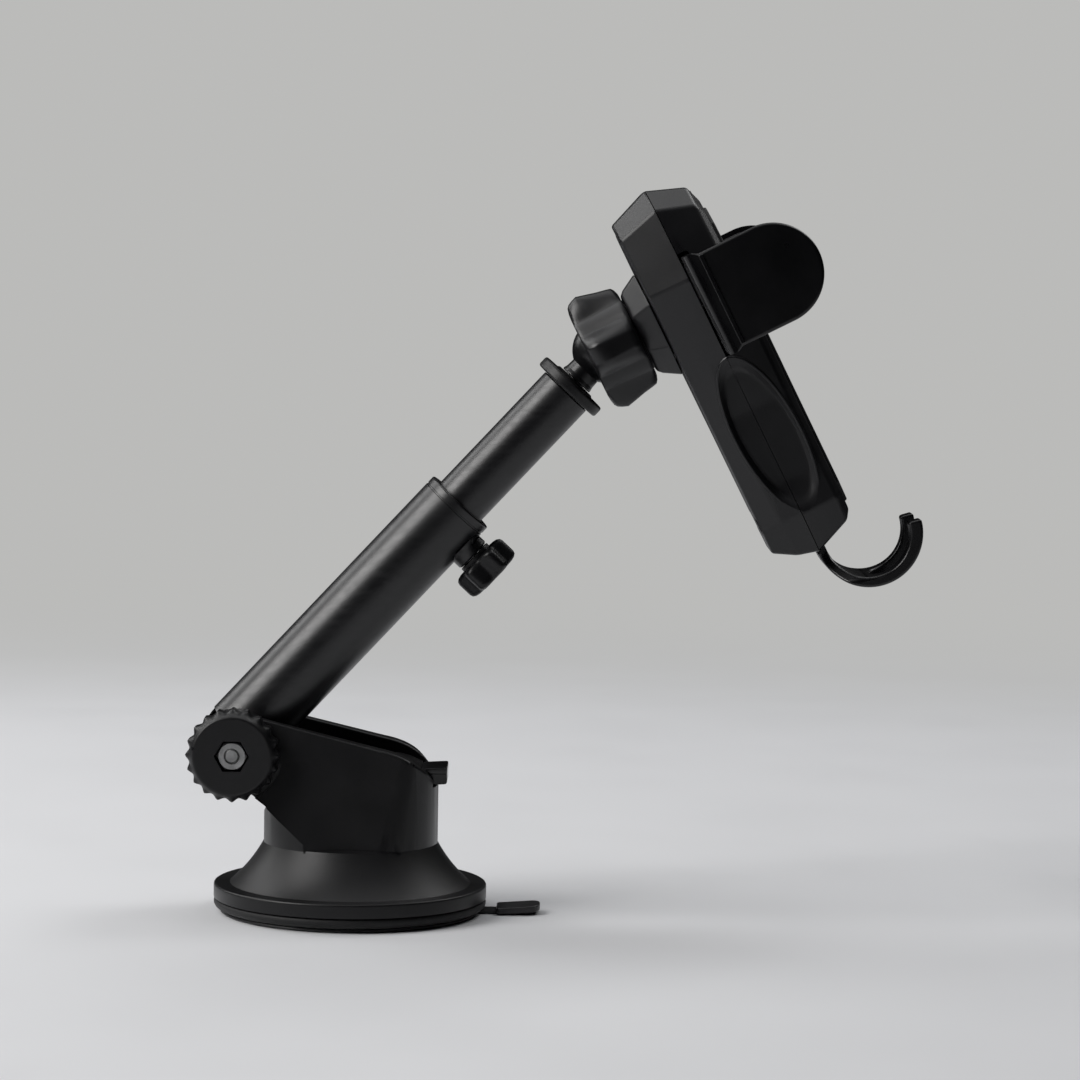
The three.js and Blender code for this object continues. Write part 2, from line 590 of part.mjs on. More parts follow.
function footHook() {
  const { x, z, outerRadius, innerRadius, sweep, halfWidth, prongGap, stemHalf } = HOOK;
  const stemTop = -33;
  const outline = [
    [x - outerRadius, stemTop], ...circle(outerRadius, [x, z], 20, 180, 180 + sweep),
    ...circle(innerRadius, [x, z], 20, 180, 180 + sweep).reverse(), [x - innerRadius, stemTop],
  ];
  const strip = prism('y', outline, -halfWidth, halfWidth);
  const flare = prism('x', [
    [-halfWidth, -100], [halfWidth, -100], [halfWidth, -82], [stemHalf, -74], [stemHalf, 0], [-stemHalf, 0],
    [-stemHalf, -74], [-halfWidth, -82],
  ], 20, 45);
  const front = block([40, 70], [-halfWidth, halfWidth], [-100, -50]);
  const gap = block([37, 70], [-prongGap, prongGap], [-100, -60]);
  const holes = footScrewPlaces().map((place) => rod('x', 1.3, 20, 40, [0, 0, place], 8));
  return cut(strip.intersect(union(flare, front)), gap, ...holes);
}

function footScrew(place) {
  return union(rod('x', 1.1, 27.2, 32.6, [0, 0, place], 8), rod('x', 2.2, 32.5, 33.7, [0, 0, place], 10));
}

// ---------------------------------------------------------- assembly

const housing = plastic(COLOURS.housing, 0.6);
const mount = new THREE.Group();

const pivot = new THREE.Group();
pivot.position.set(PIVOT.x, 0, PIVOT.z);
pivot.add(
  piece('pivot_knob', knob(), plastic(COLOURS.housing, 0.65)),
  piece('pivot_nut', nut(), metal(COLOURS.steel)),
  piece('pivot_bolt', pivotBolt(), metal(COLOURS.steel)),
  piece('friction_washer_near', frictionWasher(-1), plastic(COLOURS.rubber, 0.8)),
  piece('friction_washer_far', frictionWasher(1), plastic(COLOURS.rubber, 0.8)),
);

const arm = new THREE.Group();
arm.position.copy(pivot.position);
arm.rotation.y = -radians(ARM.elevation);
arm.add(
  piece('outer_tube', outerTube(), plastic(COLOURS.satin, 0.4)),
  piece('tube_bushing', tubeBushing(), plastic(COLOURS.gloss)),
  piece('clamp_insert', clampInsert(), metal(COLOURS.brass)),
  piece('clamp_screw', clampScrew(), metal(COLOURS.steel)),
  piece('thumb_knob', thumbKnob(), plastic(COLOURS.housing, 0.5)),
  piece('inner_tube', innerTube(), plastic(COLOURS.satin, 0.35)),
  piece('tube_end_cap', endCap(), plastic(COLOURS.housing)),
  piece('ball_stud', ballStud(), plastic(COLOURS.gloss, 0.45)),
);

const ballCentre = new THREE.Vector3(ARM.ballAt, 0, ARM.axisOffset);
arm.updateMatrix();
ballCentre.applyMatrix4(arm.matrix);

const cradle = new THREE.Group();
cradle.position.copy(ballCentre);
cradle.rotation.y = -radians(CRADLE.tilt);
cradle.add(
  piece('ball_liner', ballLiner(), plastic(COLOURS.gloss)),
  piece('ball_socket', ballSocket(), plastic(COLOURS.housing)),
  piece('ring_nut', ringNut(), plastic(COLOURS.housing, 0.5)),
  piece('back_shell', backShell(), housing),
  piece('front_shell', frontShell(), housing),
  piece('front_pad', frontPad(), plastic(COLOURS.rubber, 0.85)),
  piece('return_spring', returnSpring(), metal(COLOURS.steel)),
  piece('slider_plate', sliderPlate(), plastic(COLOURS.gloss)),
  piece('foot_hook', footHook(), plastic(COLOURS.gloss, 0.45)),
);
for (const [name, places, screw] of [
  ['shell_screw', shellScrewPlaces(), shellScrew],
  ['hub_screw', hubScrewPlaces(), hubScrew],
  ['foot_screw', footScrewPlaces(), footScrew],
]) {
  places.forEach((place, i) => cradle.add(piece(`${name}_${i + 1}`, screw(place), metal(COLOURS.steel))));
}
for (const [side, word] of [[-1, 'near'], [1, 'far']]) {
  cradle.add(
    piece(`clamp_arm_${word}`, clampArm(side), plastic(COLOURS.gloss, 0.5)),
    piece(`arm_pad_${word}`, armPad(side), plastic(COLOURS.rubber, 0.9)),
  );
}

mount.add(
  piece('base_housing', baseHousing(), housing),
  piece('suction_cup', suctionCup(), plastic(COLOURS.rubber, 0.7)),
  piece('gel_pad', gelPad(), plastic(COLOURS.rubber, 0.9)),
  piece('plunger', plunger(), plastic(COLOURS.gloss)),
  piece('cam_lever', lever(), plastic(COLOURS.gloss, 0.5)),
  piece('lever_pin', leverPin(), metal(COLOURS.steel)),
  pivot, arm, cradle,
);

export default mount;
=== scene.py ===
import json
from math import asin, atan2, cos, degrees, pi, radians, sin, sqrt, tan
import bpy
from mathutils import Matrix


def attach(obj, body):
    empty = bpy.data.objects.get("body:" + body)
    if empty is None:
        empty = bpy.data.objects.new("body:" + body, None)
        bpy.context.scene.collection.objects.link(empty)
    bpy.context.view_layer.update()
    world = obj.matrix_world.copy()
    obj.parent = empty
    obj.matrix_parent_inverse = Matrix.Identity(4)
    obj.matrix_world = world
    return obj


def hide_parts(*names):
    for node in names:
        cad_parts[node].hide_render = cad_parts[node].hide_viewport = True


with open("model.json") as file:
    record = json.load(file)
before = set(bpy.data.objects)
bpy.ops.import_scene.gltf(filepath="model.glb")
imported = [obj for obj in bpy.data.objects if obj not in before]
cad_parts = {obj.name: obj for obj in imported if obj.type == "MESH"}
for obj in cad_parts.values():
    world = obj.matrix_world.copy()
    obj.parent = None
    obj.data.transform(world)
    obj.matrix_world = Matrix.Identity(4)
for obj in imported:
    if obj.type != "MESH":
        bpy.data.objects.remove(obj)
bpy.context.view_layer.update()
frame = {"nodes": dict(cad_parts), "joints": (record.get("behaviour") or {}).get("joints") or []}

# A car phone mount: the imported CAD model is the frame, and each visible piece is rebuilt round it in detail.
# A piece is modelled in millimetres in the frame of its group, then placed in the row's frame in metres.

from types import SimpleNamespace as Sizes

import bmesh
import bpy
from mathutils import Matrix, Vector

# ---- driving dimensions, in millimetres

RIM = Sizes(radius=36, bottom=3.9, top=7.6)
CONE = Sizes(foot=31.5, neck=23, top=18.5)
CHEEK = Sizes(foot=20.3, head=15.3, top=49.5, slot=11, deck=24)
SLOT_WALL = Sizes(front_x=-19.4, front_top=28.4, end_x=19.2, end_top=33.9, tab_half=7.5)
PIVOT_BOSS = Sizes(x=-29.8, z=43.5, radius=11, face=16.6, bolt=2)
LEVER = Sizes(x=1.3, z=30, throw=1.6, turn=140, disc=4.2, half_width=10.3, pin=1.5,
              tab_start=18.6, tab_half=7, tab_low_half=5.6, tab_step=37.4)
KNOB = Sizes(back=16.9, ridge_front=22, face=24, radius=12.2, face_radius=10.2, ridges=20)
HEX = Sizes(across=7, pocket=7.9)
TUBE = Sizes(offset=1.9, outer=9.75, outer_bore=8.3, outer_end=87, eye=9.9)
EXTENSION = Sizes(radius=7.35, bore=6.1, start=50, end=127, cap_radius=9.95, cap_end=130.7)
CLAMP_SCREW = Sizes(at=79, boss=4.8, height=12.15, head_end=20.4)
BALL = Sizes(at=141.8, radius=8.5, neck=4.3, shank=2.4)
SHELL = Sizes(back=15.8, parting=27.2, shoulder=37.2, front=38.9)
PADDLE = Sizes(inner=44.5, outer=47.3, radius=12.8, centre=45.8, low=27.5, high=29.9, root=13.5)
HOOK = Sizes(x=40.7, z=-72.4, radius=14, sweep=170, half_width=14, gap=8, stem=6)
FAR = 60            # past the piece, for the shapes that cut it

# ---- places, from the frame

JOINTS = {joint["name"]: joint for joint in frame["joints"]}


def group_frame(origin, along):
    """Matrix from a group's own millimetres to the row's metres: +X along the axis, +Y as in the row."""
    x = Vector(along).normalized()
    y = Vector((0, 1, 0))
    turn = Matrix((x, y, x.cross(y))).transposed().to_4x4()
    return Matrix.Translation(Vector(origin)) @ turn @ Matrix.Scale(0.001, 4)


WORLD = group_frame((0, 0, 0), (1, 0, 0))
PIVOT = group_frame(JOINTS["arm_pivot"]["pos_m"], (1, 0, 0))
ARM = group_frame(JOINTS["arm_pivot"]["pos_m"], JOINTS["tube_slide"]["axis"])
CRADLE = group_frame(JOINTS["cradle_roll"]["pos_m"], JOINTS["cradle_roll"]["axis"])

# ---- outlines


def arc(centre, radius, start, end, count=12):
    """Points on an arc, from one angle in degrees to another."""
    angles = [radians(start + (end - start) * i / count) for i in range(count + 1)]
    return [(centre[0] + radius * cos(a), centre[1] + radius * sin(a)) for a in angles]


def curve(start, control, end, count=10):
    """Points on a quadratic curve that leaves and arrives along the lines to its control point."""
    points = []
    for i in range(count + 1):
        t = i / count
        weights = ((1 - t) ** 2, 2 * t * (1 - t), t * t)
        points.append(tuple(sum(w * p[k] for w, p in zip(weights, (start, control, end))) for k in (0, 1)))
    return points


def rounded(points, radius, count=4, closed=True):
    """A polygon with its corners rounded. radius is one number, or one for each corner."""
    radii = radius if isinstance(radius, (list, tuple)) else [radius] * len(points)
    result = []
    for i, (corner, r) in enumerate(zip(points, radii)):
        here = Vector(corner)
        before = Vector(points[i - 1]) - here
        after = Vector(points[(i + 1) % len(points)]) - here
        open_end = not closed and i in (0, len(points) - 1)
        half_angle = before.angle(after) / 2
        if r <= 0 or open_end or half_angle > radians(88):
            result.append(tuple(corner))
            continue
        reach = min(r / tan(half_angle), 0.48 * before.length, 0.48 * after.length)
        start = here + before.normalized() * reach
        end = here + after.normalized() * reach
        result += curve(start, here, end, count)
    return result


def polar(radius_at, count):
    """An outline whose radius depends on the angle."""
    angles = [2 * pi * i / count for i in range(count)]
    return [(radius_at(a) * cos(a), radius_at(a) * sin(a)) for a in angles]


def hexagon(across):
    return arc((0, 0), across / sqrt(3), 0, 300, 5)


def mirrored(half):
    """A (height, half width) outline from the top end to the tail, closed up the other side."""
    return [(y, z) for z, y in half] + [(-y, z) for z, y in reversed(half)]


def mix(a, b, t):
    return a + (b - a) * t


# ---- meshes

PLACES = {"x": lambda a, b, h: (h, a, b), "y": lambda a, b, h: (a, h, b), "z": lambda a, b, h: (a, b, h)}


def new_object(vertices, faces):
    mesh = bpy.data.meshes.new("piece")
    mesh.from_pydata([tuple(v) for v in vertices], [], faces)
    bm = bmesh.new()
    bm.from_mesh(mesh)
    bmesh.ops.remove_doubles(bm, verts=bm.verts, dist=1e-5)
    bmesh.ops.recalc_face_normals(bm, faces=bm.faces)
    bm.to_mesh(mesh)
    bm.free()
    obj = bpy.data.objects.new("piece", mesh)
    bpy.context.scene.collection.objects.link(obj)
    return obj


def lathe(profile, axis="z", centre=(0, 0, 0), segments=96, turn=0.0):
    """Turns a profile of (radius, height) pairs about an axis. It starts and ends on the axis, or closes."""
    ring = list(profile)
    if ring[0][0] > 0 or ring[-1][0] > 0:
        ring.append(ring[0])
    count = len(ring)
    vertices = []
    faces = []
    for s in range(segments):
        angle = radians(turn) + 2 * pi * s / segments
        for radius, height in ring:
            place = PLACES[axis](radius * cos(angle), radius * sin(angle), height)
            vertices.append(Vector(place) + Vector(centre))
    for s in range(segments):
        here, there = s * count, (s + 1) % segments * count
        for i in range(count - 1):
            corners = [here + i, there + i, there + i + 1, here + i + 1]
            if ring[i][0] == 0:
                corners.pop(1)
            elif ring[i + 1][0] == 0:
                corners.pop(2)
            faces.append(corners)
    return new_object(vertices, faces)


def rod(radius, start, end, axis="z", centre=(0, 0, 0), segments=48, edge=0.0):
    """A round bar with its end edges rounded."""
    corners = [(0, start), (radius, start), (radius, end), (0, end)]
    return lathe(rounded(corners, edge, 3, closed=False), axis, centre, segments)


def ring_faces(rows, count, first=0):
    """Faces that join closed rings of points, each to the ring after it."""
    faces = []
    for row in range(rows):
        start = first + row * count
        for k in range(count):
            a, b = start + k, start + (k + 1) % count
            faces.append((a, b, b + count, a + count))
    return faces


def loft(sections):
    """Joins outlines of equal length, each a list of points in space, with a cap at both ends."""
    count = len(sections[0])
    vertices = [point for section in sections for point in section]
    faces = ring_faces(len(sections) - 1, count)
    faces.append(tuple(range(count)))
    faces.append(tuple(range((len(sections) - 1) * count, len(sections) * count)))
    return new_object(vertices, faces)


def stack(axis, *sections):
    """Lofts flat outlines, each given as (place on the axis, outline)."""
    return loft([[PLACES[axis](a, b, h) for a, b in outline] for h, outline in sections])


def prism(axis, outline, start, end):
    """An outline pulled along an axis: (y, z) along x, (x, z) along y, (x, y) along z."""
    return stack(axis, (start, outline), (end, outline))


def block(x, y, z):
    return prism("z", [(x[0], y[0]), (x[1], y[0]), (x[1], y[1]), (x[0], y[1])], z[0], z[1])


def moved(obj, offset=(0, 0, 0), turn=0.0):
    """Shifts a piece, after a turn in degrees about its X axis."""
    obj.data.transform(Matrix.Translation(Vector(offset)) @ Matrix.Rotation(radians(turn), 4, "X"))
    return obj


def combine(obj, others, operation):
    for other in others:
        modifier = obj.modifiers.new("combine", "BOOLEAN")
        modifier.operation = operation
        modifier.solver = "EXACT"
        modifier.object = other
        graph = bpy.context.evaluated_depsgraph_get()
        mesh = bpy.data.meshes.new_from_object(obj.evaluated_get(graph))
        obj.modifiers.clear()
        old = obj.data
        obj.data = mesh
        bpy.data.meshes.remove(old)
        bpy.data.objects.remove(other)
    return obj


def joined(obj, *others):
    return combine(obj, others, "UNION")


def cut(obj, *others):
    return combine(obj, others, "DIFFERENCE")


def shared(obj, *others):
    return combine(obj, others, "INTERSECT")


def soften(obj, width=0.4, segments=3, angle=28, where=None):
    """Rounds the edges sharper than an angle, or those of them that where(middle, edge) picks."""
    bm = bmesh.new()
    bm.from_mesh(obj.data)
    bmesh.ops.remove_doubles(bm, verts=bm.verts, dist=0.02)
    bmesh.ops.dissolve_limit(bm, angle_limit=radians(0.4), verts=bm.verts, edges=bm.edges)
    limit = radians(angle)
    sharp = [e for e in bm.edges if len(e.link_faces) == 2 and e.calc_face_angle() > limit]
    if where:
        sharp = [e for e in sharp if where((e.verts[0].co + e.verts[1].co) / 2, e)]
    bmesh.ops.bevel(bm, geom=sharp, offset=width, offset_type="OFFSET", segments=segments, profile=0.5,
                    affect="EDGES", clamp_overlap=False, miter_outer="ARC")
    bmesh.ops.recalc_face_normals(bm, faces=bm.faces)
    bm.to_mesh(obj.data)
    bm.free()
    return obj


def finish(obj, name, place, body, node, material, smooth=35):
    """Puts a piece in its place in metres, gives it its material and slot, and lets it ride on its body."""
    obj.name = name
    obj.data.name = name
    obj.data.transform(place)
    obj.data.materials.clear()
    obj.data.materials.append(material)
    obj.data.polygons.foreach_set("use_smooth", [True] * len(obj.data.polygons))
    obj.data.set_sharp_from_angle(angle=radians(smooth))
    obj.data.update()
    normals = obj.modifiers.new("weighted normals", "WEIGHTED_NORMAL")
    normals.keep_sharp = True
    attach(obj, body)
    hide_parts(node)
    return obj


# ---- materials

class Shader:
    """A Principled material in the making. Texture scales are in features per metre."""

    def __init__(self, name, values):
        self.material = bpy.data.materials.new(name)
        self.material.use_nodes = True
        self.tree = self.material.node_tree
        self.shader = self.tree.nodes["Principled BSDF"]
        for socket, value in values.items():
            self.shader.inputs[socket].default_value = value
        self.place = self.node("TexCoord").outputs["Object"]
        self.height = None

    def node(self, kind, links=(), **values):
        made = self.tree.nodes.new("ShaderNode" + kind)
        for key, value in values.items():
            setattr(made, key, value)
        for socket, source in dict(links).items():
            if hasattr(source, "links"):
                self.tree.links.new(source, made.inputs[socket])
            else:
                made.inputs[socket].default_value = source
        return made

    def noise(self, scale, detail=3.0, stretch=(1, 1, 1), rotation=(0, 0, 0)):
        """Noise from 0 to 1, drawn out along an axis where its stretch is under 1."""
        links = {"Vector": self.place, "Scale": stretch, "Rotation": rotation}
        links = {"Vector": self.node("Mapping", links).outputs[0], "Scale": scale, "Detail": detail}
        return self.node("TexNoise", links).outputs[0]

    def cells(self, scale):
        texture = self.node("TexVoronoi", {"Vector": self.place, "Scale": scale})
        return texture.outputs["Distance"]

    def ranged(self, source, low, high, start=0.3, end=0.7):
        links = {"Value": source, "From Min": start, "From Max": end, "To Min": low, "To Max": high}
        return self.node("MapRange", links).outputs[0]

    def worn(self):
        """0 on flat faces and up to 1 along outer edges, where handling polishes the surface."""
        pointiness = self.node("NewGeometry").outputs["Pointiness"]
        return self.ranged(pointiness, 0.0, 1.0, 0.52, 0.6)

    def colour(self, factor, first, second):
        links = {0: factor, 6: (*first, 1), 7: (*second, 1)}
        blend = self.node("Mix", links, data_type="RGBA")
        self.tree.links.new(blend.outputs[2], self.shader.inputs["Base Color"])

    def roughness(self, source):
        self.tree.links.new(source, self.shader.inputs["Roughness"])

    def maths(self, operation, a, b):
        return self.node("Math", {0: a, 1: b}, operation=operation).outputs[0]

    def bump(self, source, depth):
        """Adds relief of a real depth in metres."""
        links = {"Height": source, "Distance": depth, "Strength": 1.0}
        relief = self.node("Bump", links)
        if self.height:
            self.tree.links.new(self.height, relief.inputs["Normal"])
        self.height = relief.outputs[0]
        self.tree.links.new(self.height, self.shader.inputs["Normal"])


def moulded_plastic(name, dark, light, roughness, grain=0.00002, specular=0.5):
    """Black plastic from a spark-eroded mould: fine even grain, faint blotches, edges rubbed smoother."""
    shader = Shader(name, {"Specular IOR Level": specular})
    blotch = shader.noise(60, 4)
    shader.colour(shader.ranged(blotch, 0.0, 1.0), dark, light)
    rub = shader.maths("MULTIPLY", shader.worn(), 0.16)
    uneven = shader.ranged(blotch, roughness - 0.04, roughness + 0.05)
    shader.roughness(shader.maths("SUBTRACT", uneven, rub))
    shader.bump(shader.noise(3500, 2), grain)
    return shader.material


def satin_plastic(name, dark, light, roughness, turn):
    """Smooth satin tube plastic with faint draw marks along its length."""
    shader = Shader(name, {"Specular IOR Level": 0.55})
    marks = shader.noise(900, 2, stretch=(0.02, 1, 1), rotation=turn)
    blotch = shader.noise(45, 3)
    shader.colour(shader.ranged(blotch, 0.0, 1.0), dark, light)
    shader.roughness(shader.ranged(marks, roughness - 0.03, roughness + 0.05))
    shader.bump(marks, 0.0000012)
    shader.bump(shader.noise(5200, 2), 0.000004)
    return shader.material


def rubber(name, tone, roughness, speckle):
    """Dull rubber: a slight pebble, and dust that lies in it as paler specks."""
    shader = Shader(name, {"Specular IOR Level": 0.35, "Sheen Weight": 0.06, "Sheen Roughness": 0.6})
    dust = shader.ranged(shader.noise(1400, 2), 0.0, 1.0, 0.62, 0.78)
    shader.colour(dust, tone, tuple(t + speckle for t in tone))
    shader.roughness(shader.ranged(shader.noise(120, 3), roughness - 0.06, roughness + 0.06))
    shader.bump(shader.cells(2600), 0.00002)
    return shader.material


def gel(name):
    """Tacky black polyurethane: nearly smooth and a little wet-looking, with slow waves."""
    shader = Shader(name, {"Coat Weight": 0.15, "Coat Roughness": 0.3})
    shader.colour(shader.noise(80, 2), (0.008, 0.008, 0.009), (0.016, 0.016, 0.018))
    shader.roughness(shader.ranged(shader.noise(200, 3), 0.38, 0.52))
    shader.bump(shader.noise(260, 2), 0.00003)
    return shader.material


def plated_metal(name, dark, light, roughness):
    """Plated or turned metal: blotchy plating and fine scratches."""
    shader = Shader(name, {"Metallic": 1.0})
    shader.colour(shader.ranged(shader.noise(500, 4), 0.0, 1.0), dark, light)
    scratches = shader.noise(3000, 3, stretch=(1, 0.05, 1))
    shader.roughness(shader.ranged(scratches, roughness - 0.08, roughness + 0.14))
    shader.bump(scratches, 0.000004)
    return shader.material


def tube_turn():
    """Rotation that lays a texture's X along the tubes."""
    x, _, z = JOINTS["tube_slide"]["axis"]
    return (0, atan2(z, x), 0)


HOUSING = moulded_plastic("housing plastic", (0.0032, 0.0032, 0.0038), (0.0056, 0.0055, 0.0065), 0.44,
                          specular=0.37)
CRADLE_PLASTIC = moulded_plastic("cradle plastic", (0.0046, 0.0046, 0.0054), (0.0076, 0.0075, 0.0088), 0.39,
                                 specular=0.45)
SATIN = satin_plastic("tube plastic", (0.0045, 0.0045, 0.0053), (0.0075, 0.0074, 0.0086), 0.34, tube_turn())
GLOSS = moulded_plastic("semi-gloss plastic", (0.0034, 0.0034, 0.004), (0.0052, 0.0052, 0.006), 0.32,
                        grain=0.000006, specular=0.42)
RUBBER = rubber("black rubber", (0.005, 0.005, 0.0057), 0.62, 0.012)
GEL = gel("sticky gel")
STEEL = plated_metal("zinc plated steel", (0.27, 0.27, 0.27), (0.43, 0.43, 0.43), 0.36)
BRASS = plated_metal("brass", (0.55, 0.38, 0.17), (0.72, 0.52, 0.26), 0.3)

# ---- base


def turret_outline():
    """Side view of the cheeks: a round end at the pivot, a straight top, and a back that curves down."""
    pivot_end = arc((PIVOT_BOSS.x, PIVOT_BOSS.z), PIVOT_BOSS.radius - 0.35, 97, 290, 28)
    back = curve((23.4, 32.4), (19.6, 42.6), (8, 44.7), 20)
    front = [pivot_end[-1], (-20.4, 29.3), (-22.7, 27.2), (-22.7, CONE.top)]
    throat = rounded(front, [0, 1.2, 2, 0], closed=False)
    return [(CONE.neck + 0.4, CONE.top)] + back + pivot_end + throat[1:]


def skirt():
    """The round flange and the hollow cone. A narrower neck with a deck across it stays inside the turret."""
    foot = [(RIM.radius, RIM.bottom), (RIM.radius, RIM.top), (CONE.foot + 0.3, RIM.top)]
    cone = curve((CONE.foot, RIM.top + 0.25), (26.4, 12.2), (CONE.neck - 0.1, CONE.top + 0.15), 16)
    neck, deck = CONE.neck - 3.9, CHEEK.deck - 0.2
    under_deck = [(0, deck), (0, 21), (18, 21), (20, 16.5), (28.5, 9.4), (34, 5.2), (34, RIM.bottom)]
    outside = rounded(foot, 0.7, closed=False) + cone + [(neck, CONE.top + 0.6), (neck, deck)]
    return lathe(outside + under_deck, segments=144)


def cheek_half_width(height):
    return mix(CHEEK.foot, CHEEK.head, (height - CONE.top) / (CHEEK.top - CONE.top))


def drum_outline(height):
    """The turret's round outline. On the lever's side it blends softly into the flat cheeks."""
    proud, blend = 0.03, 2.2
    flat = cheek_half_width(height) + proud
    outline = []
    for x, y in arc((0, 0), CONE.neck, 0, 357.5, 143):
        across = abs(y) / CONE.neck
        radius = CONE.neck
        if x > 0 and across > 0.1:
            gap = flat / across - radius
            share = min(max(0.5 + 0.5 * gap / blend, 0), 1)
            radius += (1 - share) * gap - blend * share * (1 - share)
        outline.append((x * radius / CONE.neck, y * radius / CONE.neck))
    return outline


def slot_rim(middle, edge):
    """Picks the turret's upper edges along the slot, but none that runs straight across."""
    outward = edge.verts[0].co - edge.verts[1].co
    return -17 < middle.x < 20.2 and middle.z > 30 and abs(outward.y) < 0.85 * outward.length


def base_housing():
    """The hard shell, from the flange up to the two drafted cheeks that hold the pivot and the lever."""
    pivot = (PIVOT_BOSS.x, 0, PIVOT_BOSS.z)
    turret = prism("y", turret_outline(), -CONE.neck - 1, CONE.neck + 1)
    drum = stack("z", *[(height, drum_outline(height)) for height in range(17, 62, 4)])
    cut(drum, lathe([(0, 10), (20.6, 10), (20.6, 17), (18.6, 21.3), (0, 21.3)]))
    overhang = [(-FAR, 33.6), (-21, 29.3), (-18, 26.4), (-9.2, 18.3), (-9, 15), (1, 15), (1, FAR)]
    shared(turret, joined(drum, prism("y", overhang + [(-FAR, FAR)], -30, 30)))
    foot, head = 15, 56
    low, high = cheek_half_width(foot), cheek_half_width(head)
    shared(turret, prism("x", [(-low, foot), (low, foot), (high, head), (-high, head)], -FAR, FAR))
    slot, tab = CHEEK.slot, SLOT_WALL.tab_half
    cut(turret, block((SLOT_WALL.front_x, SLOT_WALL.end_x), (-slot, slot), (CHEEK.deck, FAR)),
        block((-FAR, 0), (-slot, slot), (SLOT_WALL.front_top, FAR)),
        block((0, FAR), (-tab, tab), (SLOT_WALL.end_top, FAR)))
    for side in (-1, 1):
        near, far = sorted((side * slot, side * PIVOT_BOSS.face))
        joined(turret, rod(PIVOT_BOSS.radius, near, far, "y", pivot, 96))
        near, far = sorted((side * PIVOT_BOSS.face, side * 40))
        cut(turret, rod(KNOB.radius + 0.6, near, far, "y", pivot, 96))
    soften(turret, 0.7, 3, 35, slot_rim)
    body = joined(turret, skirt())
    cut(body, block((-7.4, 7.4), (-3.6, 3.6), (10, CHEEK.deck + 1)),
        rod(PIVOT_BOSS.bolt + 0.3, -30, 30, "y", pivot),
        rod(LEVER.pin + 0.3, -15.8, 30, "y", (LEVER.x, 0, LEVER.z)))
    finish(body, "base_shell", WORLD, "base", "base_housing", HOUSING)


def suction_cup():
    """The rubber rim below the flange, rounded under, with fine moulded rings on its lower face."""
    rim = curve((33.6, 1.0), (35.9, 1.0), (35.95, 2.6), 8) + curve((35.95, 2.7), (35.9, 3.55), (35.2, 3.6), 5)
    under = []
    for step in range(7):
        middle = 3.5 + 4.2 * step
        under += [(middle, 1.0), (middle + 1.0, 1.18), (middle + 2.0, 1.0)]
    top = [(31, 3.6), (25, 2.2), (0, 2.2)]
    cup = lathe([(0, 1.0)] + under + rim + top, segments=144)
    finish(cup, "suction_rim", WORLD, "base", "suction_cup", RUBBER)


def gel_pad():
    """The sticky disc, and its pull tab: a thin neck and a thicker grip, lifted at the end."""
    disc = lathe([(0, 0), (34.0, 0), (34.4, 0.35), (34.2, 0.9), (0, 0.9)], segments=144)
    neck = prism("z", [(32, -3.2), (39.6, -3.2), (39.6, 3.2), (32, 3.2)], 0.05, 0.85)
    corners = [(38.8, -5), (50.3, -5), (50.3, 5), (38.8, 5)]
    grip = prism("z", rounded(corners, [1.2, 3.8, 3.8, 1.2], 8), 0.05, 1.75)
    soften(grip, 0.35, 3)
    joined(disc, joined(neck, grip))
    pad = soften(disc, 0.12, 2, 50)
    for vertex in pad.data.vertices:
        lift = max(0.0, vertex.co.x - 38) / 12.3
        vertex.co.z += 0.9 * lift ** 1.5
    finish(pad, "pull_tab_pad", WORLD, "base", "gel_pad", GEL)


def cam_lever():
    """The locking lever: a cam disc between two plates that join under a curved handle with a plain tab."""
    angle = radians(LEVER.turn)
    cam = (LEVER.x + LEVER.throw * cos(angle), 0, LEVER.z + LEVER.throw * sin(angle))
    hub = arc((LEVER.x, LEVER.z), 5.4, 110, 300, 24)
    under = curve((6.5, 27.5), (13.5, 31.8), (20.0, 34.3), 10)
    end = [(20.0, 34.3), (25.4, 34.6), (25.4, 39.2), (20.2, 38.9)]
    tab = rounded(end, [0, 0.8, 0.6, 0], closed=False)
    top = curve((18.4, 38.6), (13, 41.6), (7.5, 40.8), 10)
    top += curve((7.5, 40.8), (0.5, 39), (-2.5, 36.5), 8)[1:]
    lever = prism("y", hub + under + tab[1:] + top, -LEVER.half_width, LEVER.half_width)
    cut(lever, block((-9, 11.2), (-3.4, 3.4), (20, 39.3)))
    for half, height in ((LEVER.tab_half, FAR), (LEVER.tab_low_half, LEVER.tab_step)):
        cut(lever, block((LEVER.tab_start, 30), (half, 20), (20, height)),
            block((LEVER.tab_start, 30), (-20, -half), (20, height)))
    soften(lever, 0.3, 3, 35)
    joined(lever, rod(LEVER.disc, -3.6, 3.6, "y", cam, 64))
    cut(lever, rod(LEVER.pin + 0.15, -30, 30, "y", (LEVER.x, 0, LEVER.z)))
    finish(lever, "locking_lever", WORLD, "lever", "cam_lever", GLOSS)


# ---- pivot


